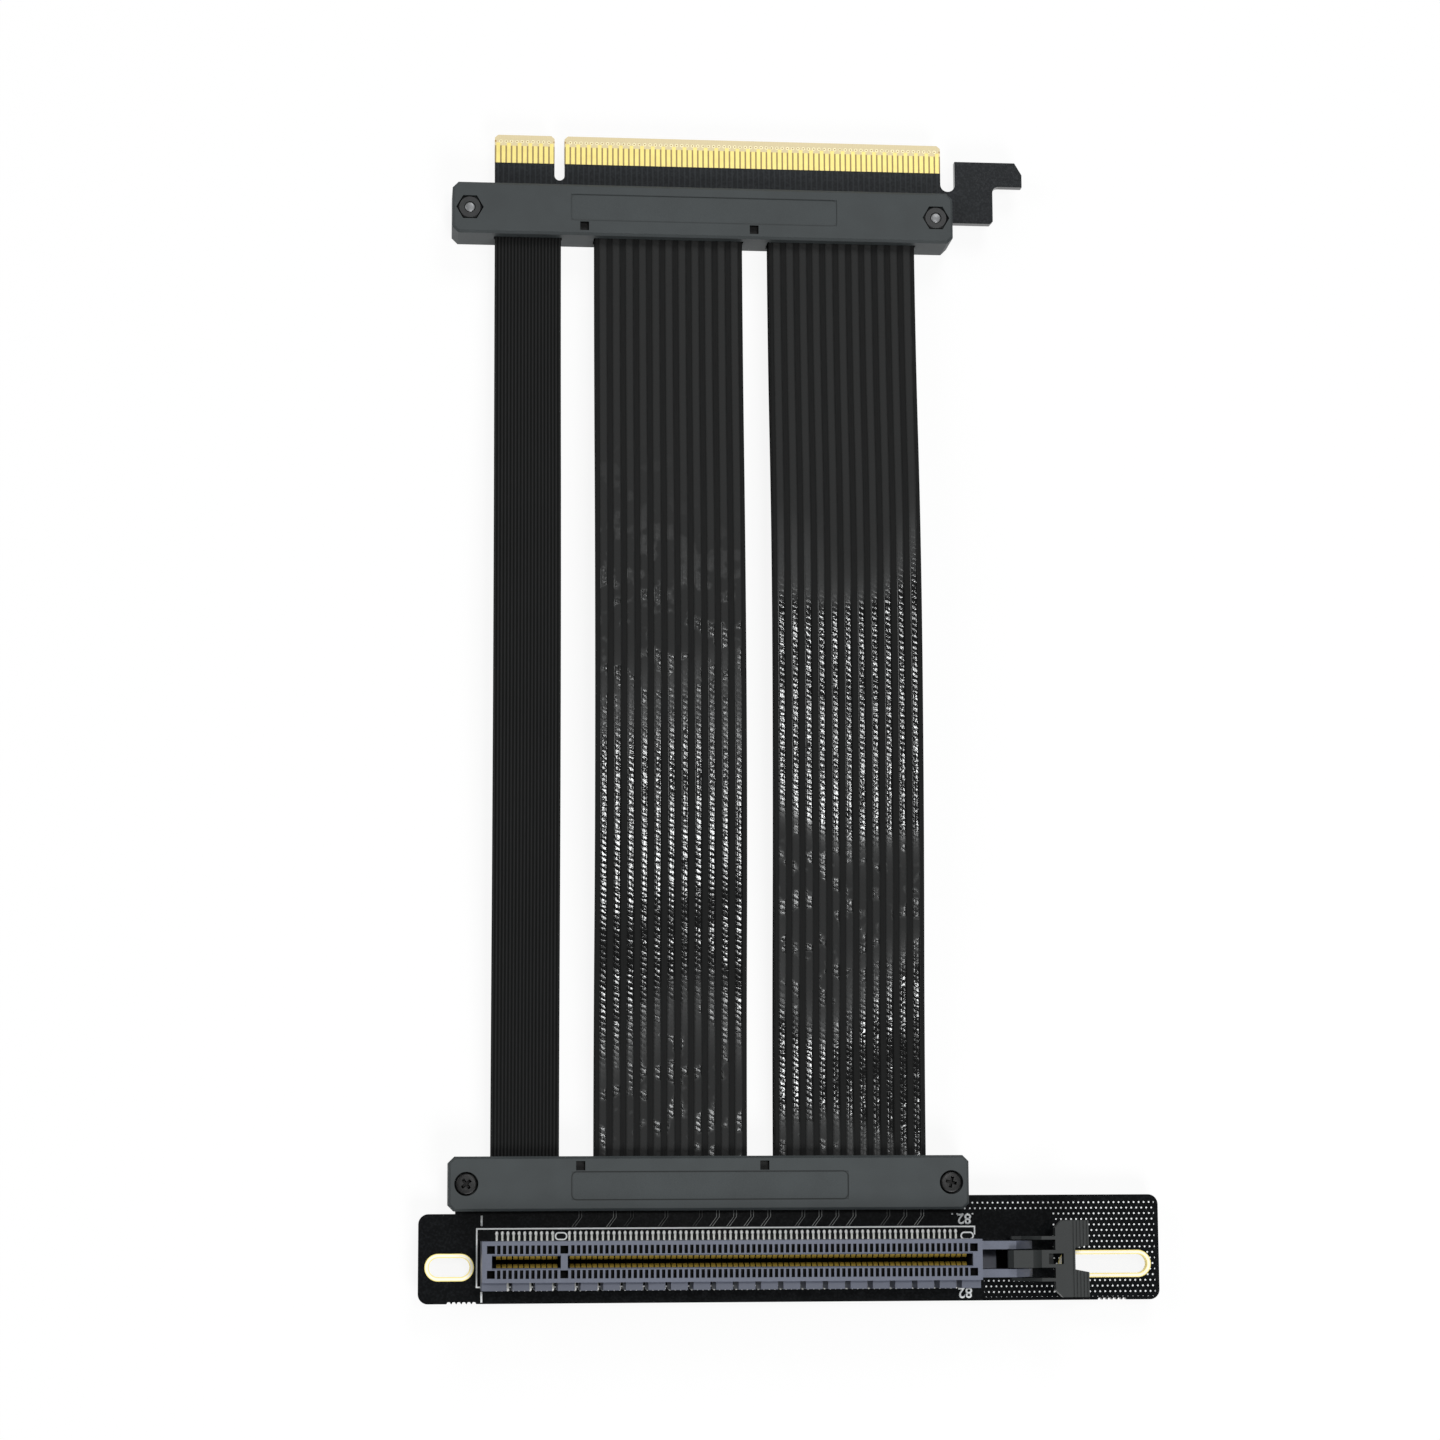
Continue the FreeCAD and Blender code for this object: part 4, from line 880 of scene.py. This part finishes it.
class RISER_OT_stage(bpy.types.Operator):
    """Pale floor, soft light and the camera"""

    bl_idname = "riser.stage"
    bl_label = "Stage"

    def execute(self, context):
        stage = context.scene.riser_stage
        deselect()
        bpy.ops.mesh.primitive_plane_add(size=FLOOR_SIZE)
        floor = named("floor")
        floor.data.materials.append(floor_paper(tuple(stage.floor), stage.floor_lift))
        world = bpy.data.worlds.new("studio")
        world.use_nodes = True
        sky = world.node_tree.nodes["Background"]
        sky.inputs["Color"].default_value = (1.0, 1.0, 1.0, 1.0)
        sky.inputs["Strength"].default_value = stage.sky
        context.scene.world = world
        for name, value, place, size in SOFTBOXES:
            softbox(name, getattr(stage, value), place, size)
        lens = bpy.data.cameras.new("camera")
        lens.lens = stage.lens
        lens.sensor_width = SENSOR_WIDTH
        lens.clip_start, lens.clip_end = 0.01, 20
        camera = bpy.data.objects.new("camera", lens)
        camera.location = CAMERA_PLACE
        camera.rotation_euler = [math.radians(turn) for turn in CAMERA_TURN]
        context.scene.collection.objects.link(camera)
        context.scene.camera = camera
        context.scene.view_settings.view_transform = "Standard"
        return {"FINISHED"}


class RISER_OT_lane_ribbons(bpy.types.Operator):
    """Wide ribbons with wrapped wire pairs between flat rails"""

    bl_idname = "riser.lane_ribbons"
    bl_label = "Wide ribbons"

    def execute(self, context):
        finish, sizes = context.scene.riser_finish, context.scene.riser_sizes
        columns = LANE_REPEATS * len(LANE_SECTION) + LANE_EDGE_COLUMNS
        heights = section_heights(LANE_SECTION, columns)
        for side in ("left", "right"):
            low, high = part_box(f"lane_ribbon_{side}_upper")
            pitch = (high.x - low.x) * len(LANE_SECTION) / columns
            material = lane_finish(side, tuple(finish.vinyl), low.x, pitch)
            for layer in ("upper", "lower"):
                node = f"lane_ribbon_{side}_{layer}"
                strip, path, run, width = shape_ribbon(node, columns, heights, sizes.ribbon_steps)
                lay_ribbon(strip, node, material)
        return {"FINISHED"}


class RISER_OT_sideband_ribbon(bpy.types.Operator):
    """Narrow ribbon of fine round wires"""

    bl_idname = "riser.sideband_ribbon"
    bl_label = "Narrow ribbon"

    def execute(self, context):
        finish, sizes = context.scene.riser_finish, context.scene.riser_sizes
        columns = WIRE_REPEATS * len(WIRE_SECTION)
        heights = section_heights(WIRE_SECTION, columns)
        node = "sideband_ribbon"
        strip, path, run, width = shape_ribbon(node, columns, heights, sizes.ribbon_steps)
        vinyl = wire_finish(tuple(finish.vinyl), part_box(node)[0].x, width / WIRE_REPEATS)
        lay_ribbon(strip, node, vinyl)
        return {"FINISHED"}


class RISER_OT_screws(bpy.types.Operator):
    """Cross-recessed screws in both covers"""

    bl_idname = "riser.screws"
    bl_label = "Screws"

    def execute(self, context):
        finish, sizes = context.scene.riser_finish, context.scene.riser_sizes
        steel = screw_finish(finish)
        low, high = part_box("socket_screws")
        radius, whole = (high.y - low.y) / 2, high.z - low.z
        head, shank = sizes.head_height, sizes.shank_radius
        deselect()
        bpy.ops.mesh.primitive_cylinder_add(
            vertices=40, radius=radius, depth=head, location=(0, 0, -head / 2)
        )
        model = settle(named("screw_model"))
        pick(model, lambda place, normal: normal.z > 0.9)
        bpy.ops.mesh.bevel(offset=0.3 * head, segments=4, affect="EDGES")
        pick(model, lambda place, normal: normal.z < -0.9)
        bpy.ops.mesh.inset(thickness=radius - shank)
        bpy.ops.mesh.extrude_region_move(TRANSFORM_OT_translate={"value": (0, 0, head - whole)})
        bpy.ops.mesh.bevel(offset=0.3 * shank, segments=3, affect="EDGES")
        deep = sizes.recess_depth
        wide = sizes.recess_width
        deselect()
        bpy.ops.mesh.primitive_cube_add(size=1)
        cross = named("cross_recess")
        cross.scale = (wide, wide, 2 * deep)
        settle(cross)
        pick(cross, lambda place, normal: abs(normal.z) < 0.1)
        reach = (sizes.recess_length - wide) / 2
        bpy.ops.mesh.extrude_faces_move(TRANSFORM_OT_shrink_fatten={"value": reach})
        pick(cross, lambda place, normal: normal.z < -0.9)
        bpy.ops.transform.resize(value=(0.55, 0.55, 1), center_override=(0, 0, -deep))
        cut(model, cross)
        smooth(model)
        for end, turn, twist in (("socket", 0, 38), ("plug", 180, 12)):
            low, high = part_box(f"{end}_screws")
            middle, level = (low.y + high.y) / 2, low.z if turn else high.z
            screws = []
            for x, spin in ((low.x + radius, twist), (high.x - radius, 2 * twist)):
                way = (math.radians(turn), 0, math.radians(spin))
                screws.append(copied(model, (x, middle, level), way))
            piece = join(screws, f"{end}_screws_crossed")
            dress(piece, steel)
            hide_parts(f"{end}_screws")
        bpy.data.objects.remove(model)
        return {"FINISHED"}


class RISER_OT_nuts(bpy.types.Operator):
    """Chamfered hexagon nuts in both covers"""

    bl_idname = "riser.nuts"
    bl_label = "Nuts"

    def execute(self, context):
        finish, sizes = context.scene.riser_finish, context.scene.riser_sizes
        steel = metal("blackened_nut", tuple(finish.nut), rough=0.45, variation=0.3, metallic=0.6)
        low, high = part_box("socket_nuts")
        flats, thick = high.y - low.y, high.z - low.z
        corner = flats / math.sqrt(3)
        deselect()
        bpy.ops.mesh.primitive_cylinder_add(
            vertices=6, radius=corner, depth=thick, rotation=(0, 0, math.pi / 6)
        )
        model = settle(named("nut_model"))
        deselect()
        bpy.ops.mesh.primitive_cylinder_add(vertices=48, radius=corner * 1.03, depth=thick * 1.001)
        turned = settle(named("nut_turning"))
        pick(turned, lambda place, normal: abs(normal.z) > 0.9)
        bpy.ops.mesh.bevel(offset=corner - 0.47 * flats, segments=1, affect="EDGES")
        modifier(model, "BOOLEAN", operation="INTERSECT", object=turned, solver="EXACT")
        bpy.data.objects.remove(turned)
        deselect()
        bore = sizes.shank_radius * 1.04
        bpy.ops.mesh.primitive_cylinder_add(vertices=32, radius=bore, depth=thick)
        drill = settle(named("nut_bore"))
        for way in (-1, 1):
            pick(drill, lambda place, normal: normal.z * way > 0.9)
            bpy.ops.mesh.extrude_region_move(TRANSFORM_OT_translate={"value": (0, 0, way * 0.3 * bore)})
            centre = (0, 0, way * (thick / 2 + 0.3 * bore))
            bpy.ops.transform.resize(value=(1.6, 1.6, 1), center_override=centre)
        cut(model, drill)
        smooth(model)
        for end in ("socket", "plug"):
            low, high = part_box(f"{end}_nuts")
            middle = (low + high) / 2
            reach = (high.x - low.x) / 2 - corner
            places = [(middle.x - reach, middle.y, middle.z), (middle.x + reach, middle.y, middle.z)]
            piece = join([copied(model, place) for place in places], f"{end}_nuts_chamfered")
            dress(piece, steel.material)
            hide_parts(f"{end}_nuts")
        bpy.data.objects.remove(model)
        return {"FINISHED"}


class RISER_OT_rims(bpy.types.Operator):
    """Gilt rims through the two mounting slots"""

    bl_idname = "riser.rims"
    bl_label = "Slot rims"

    def execute(self, context):
        finish, sizes = context.scene.riser_finish, context.scene.riser_sizes
        radius = MOUNT_RADIUS - sizes.rim_lining + sizes.rim_width
        thick = BOARD_HIGH.z - BOARD_LOW.z + 2 * sizes.rim_height
        for side, (x, y), whole in MOUNT_SLOTS:
            reach = whole / 2 - MOUNT_RADIUS
            deselect()
            bpy.ops.mesh.primitive_circle_add(
                vertices=40, radius=radius, fill_type="NGON", rotation=(0, 0, math.pi / 40)
            )
            rim = settle(named(f"mount_rim_{side}"))
            for way in (-1, 1):
                pick(rim, lambda place, normal: place.x * way > 1e-6, "VERT")
                bpy.ops.transform.translate(value=(way * reach, 0, 0))
            pick(rim, lambda place, normal: True)
            bpy.ops.mesh.inset(thickness=sizes.rim_width)
            bpy.ops.mesh.delete(type="FACE")
            modifier(rim, "SOLIDIFY", thickness=thick, offset=0)
            modifier(rim, "BEVEL", width=0.4 * sizes.rim_height, segments=1, limit_method="ANGLE")
            rim.location = (SLOT.x + x, SLOT.y + y, (BOARD_LOW.z + BOARD_HIGH.z) / 2)
            settle(rim)
            smooth(rim)
            middle = (SLOT.x + x, SLOT.y + y, SLOT.z)
            dress(rim, rim_finish(side, finish, middle, reach, radius, sizes.rim_width))
        return {"FINISHED"}


def at_bend(place, normal):
    """Whether a point of a contact lies on one of its bends."""
    bends = CONTACT_LINE[1:-1]
    return any(abs(abs(place.y) - y) < HAIR and abs(place.z - z) < HAIR for y, z in bends)


class RISER_OT_contacts(bpy.types.Operator):
    """Bent spring contacts in two rows"""

    bl_idname = "riser.contacts"
    bl_label = "Contacts"

    def execute(self, context):
        finish, sizes = context.scene.riser_finish, context.scene.riser_sizes
        spring = contact_finish(finish)
        for row, way in (("a", 1), ("b", -1)):
            runs = []
            for first, count in (SHORT_RUN, LONG_RUN):
                deselect()
                bpy.ops.mesh.primitive_plane_add(size=1)
                strip = named(f"contacts_row_{row}_sprung")
                (foot_y, foot_z), (heel_y, heel_z), *rest = CONTACT_LINE
                strip.scale = (sizes.foot_width, foot_y - heel_y, 1)
                strip.location = (0, way * (foot_y + heel_y) / 2, foot_z)
                settle(strip)
                pick(strip, lambda place, normal: abs(abs(place.y) - heel_y) < HAIR, "VERT")
                last_y, last_z = heel_y, heel_z
                for y, z in rest:
                    step = (0, way * (y - last_y), z - last_z)
                    bpy.ops.mesh.extrude_region_move(TRANSFORM_OT_translate={"value": step})
                    if (last_y, last_z) == (heel_y, heel_z):
                        wider = sizes.contact_width / sizes.foot_width
                        bpy.ops.transform.resize(value=(wider, 1, 1), center_override=(0, way * y, z))
                    last_y, last_z = y, z
                pick(strip, at_bend, "VERT")
                bpy.ops.mesh.select_mode(type="EDGE")
                bpy.ops.mesh.bevel(offset=sizes.contact_bend, segments=3, affect="EDGES")
                modifier(strip, "SOLIDIFY", thickness=sizes.contact_gauge, offset=0)
                strip.location = (SLOT.x + first, SLOT.y, SLOT.z)
                settle(strip)
                in_row(strip, count)
                runs.append(strip)
            piece = join(runs, f"contacts_row_{row}_sprung")
            bpy.ops.object.mode_set(mode="EDIT")
            bpy.ops.mesh.select_all(action="SELECT")
            bpy.ops.mesh.normals_make_consistent(inside=False)
            smooth(piece, 40)
            dress(piece, spring)
            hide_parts(f"contacts_row_{row}")
        return {"FINISHED"}


class RISER_OT_solder(bpy.types.Operator):
    """Solder at the feet of the contacts"""

    bl_idname = "riser.solder"
    bl_label = "Solder"

    def execute(self, context):
        finish, sizes = context.scene.riser_finish, context.scene.riser_sizes
        tin = metal("bright_solder", tuple(finish.tin), rough=0.45, metallic=0.0).material
        rows = []
        for edge, way in ((ROW_A[1].y, 1), (ROW_B[0].y, -1)):
            for first, count in (SHORT_RUN, LONG_RUN):
                deselect()
                bpy.ops.mesh.primitive_uv_sphere_add(segments=8, ring_count=6, radius=1)
                bead = named("solder_bead")
                bead.scale = (sizes.solder_width / 2, sizes.solder_length / 2, sizes.solder_height)
                settle(bead)
                pick(bead, lambda place, normal: True)
                bpy.ops.mesh.bisect(
                    plane_co=(0, 0, 0), plane_no=(0, 0, 1), use_fill=True, clear_inner=True
                )
                bead.location = (SLOT.x + first, edge - way * 0.4 * sizes.solder_length, SLOT.z)
                settle(bead)
                in_row(bead, count)
                rows.append(bead)
        piece = join(rows, "contact_solder")
        smooth(piece, 60)
        dress(piece, tin)
        return {"FINISHED"}


class RISER_OT_rings(bpy.types.Operator):
    """Gilt rings on the tongue between the ends of the fingers"""

    bl_idname = "riser.rings"
    bl_label = "Rings"

    def execute(self, context):
        finish, sizes = context.scene.riser_finish, context.scene.riser_sizes
        gilt = metal("gilt_ring", tuple(finish.ring), rough=0.3, metallic=0.2).material
        radius = sizes.ring_radius
        rows = []
        for level in (PLUG_LOW.z, PLUG_HIGH.z):
            for first, count in (SHORT_RUN, LONG_RUN):
                deselect()
                bpy.ops.mesh.primitive_circle_add(vertices=10, radius=radius, fill_type="NGON")
                ring = named("gilt_rings")
                pick(ring, lambda place, normal: True)
                bpy.ops.mesh.inset(thickness=0.55 * radius)
                bpy.ops.mesh.delete(type="FACE")
                modifier(ring, "SOLIDIFY", thickness=2 * sizes.rim_height, offset=0)
                ring.location = (TONGUE.x + first + PIN_PITCH / 2, FINGERS[1].y + sizes.ring_gap, level)
                settle(ring)
                in_row(ring, count - 1)
                rows.append(ring)
        dress(join(rows, "tongue_rings"), gilt)
        return {"FINISHED"}


class RISER_OT_numbers(bpy.types.Operator):
    """Plain contact numbers printed at the ends of the slot"""

    bl_idname = "riser.numbers"
    bl_label = "Numbers"

    def execute(self, context):
        finish, sizes = context.scene.riser_finish, context.scene.riser_sizes
        ink = moulded("white_print", tuple(finish.ink), rough=0.6, variation=0.04).material
        marks = []
        for word, x, y in NUMBERS:
            deselect()
            bpy.ops.object.text_add()
            mark = bpy.context.object
            mark.data.body = word
            mark.data.size = sizes.number_height
            mark.data.offset = sizes.number_weight
            mark.data.align_x = "CENTER"
            mark.data.align_y = "CENTER"
            bpy.ops.object.convert(target="MESH")
            mark = named("slot_numbers")
            mark.location = (SLOT.x + x, SLOT.y + y, SLOT.z)
            mark.rotation_euler.z = math.pi
            settle(mark)
            modifier(mark, "SOLIDIFY", thickness=2 * sizes.print_height, offset=0)
            marks.append(mark)
        dress(join(marks, "slot_numbers"), ink)
        return {"FINISHED"}


class RISER_OT_finishes(bpy.types.Operator):
    """Finishes of the boards, covers, slot, latch and fingers"""

    bl_idname = "riser.finishes"
    bl_label = "Finishes"

    def execute(self, context):
        finish, sizes = context.scene.riser_finish, context.scene.riser_sizes
        for end in ("socket", "plug"):
            cover = cover_finish(end, finish)
            paint(f"{end}_cover_front", cover)
            paint(f"{end}_cover_back", cover)
        paint("socket_board", socket_board_finish(finish, sizes))
        paint("plug_board", plug_board_finish(finish, sizes))
        paint("card_slot_body", slot_finish(finish))
        latch = moulded("latch_moulding", tuple(finish.latch), specular=0.3)
        paint("card_latch", latch.material)
        gilt = metal("gilt_finger", tuple(finish.gilt), rough=0.34, metallic=0.2).material
        paint("plug_fingers_front", gilt)
        paint("plug_fingers_back", gilt)
        return {"FINISHED"}


class RISER_PT_panel(bpy.types.Panel):
    """Pieces and values of the riser cable"""

    bl_idname = "RISER_PT_panel"
    bl_label = "Riser cable"
    bl_space_type = "VIEW_3D"
    bl_region_type = "UI"
    bl_category = "Riser"

    def draw(self, context):
        for made in STEPS:
            self.layout.operator(made.bl_idname)
        for group in GROUPS:
            values = getattr(context.scene, group)
            column = self.layout.column()
            for name in values.__annotations__:
                column.prop(values, name)


STEPS = (
    RISER_OT_stage,
    RISER_OT_lane_ribbons,
    RISER_OT_sideband_ribbon,
    RISER_OT_screws,
    RISER_OT_nuts,
    RISER_OT_rims,
    RISER_OT_contacts,
    RISER_OT_solder,
    RISER_OT_rings,
    RISER_OT_numbers,
    RISER_OT_finishes,
)
GROUPS = {"riser_finish": RiserFinish, "riser_sizes": RiserSizes, "riser_stage": RiserStage}
CLASSES = (*GROUPS.values(), *STEPS, RISER_PT_panel)


def register():
    for made in CLASSES:
        bpy.utils.register_class(made)
    for name, group in GROUPS.items():
        setattr(bpy.types.Scene, name, PointerProperty(type=group))


def unregister():
    for name in GROUPS:
        delattr(bpy.types.Scene, name)
    for made in reversed(CLASSES):
        bpy.utils.unregister_class(made)


def main():
    register()
    bpy.ops.riser.stage()
    bpy.ops.riser.lane_ribbons()
    bpy.ops.riser.sideband_ribbon()
    bpy.ops.riser.screws()
    bpy.ops.riser.nuts()
    bpy.ops.riser.rims()
    bpy.ops.riser.contacts()
    bpy.ops.riser.solder()
    bpy.ops.riser.rings()
    bpy.ops.riser.numbers()
    bpy.ops.riser.finishes()


if __name__ == "__main__":
    main()
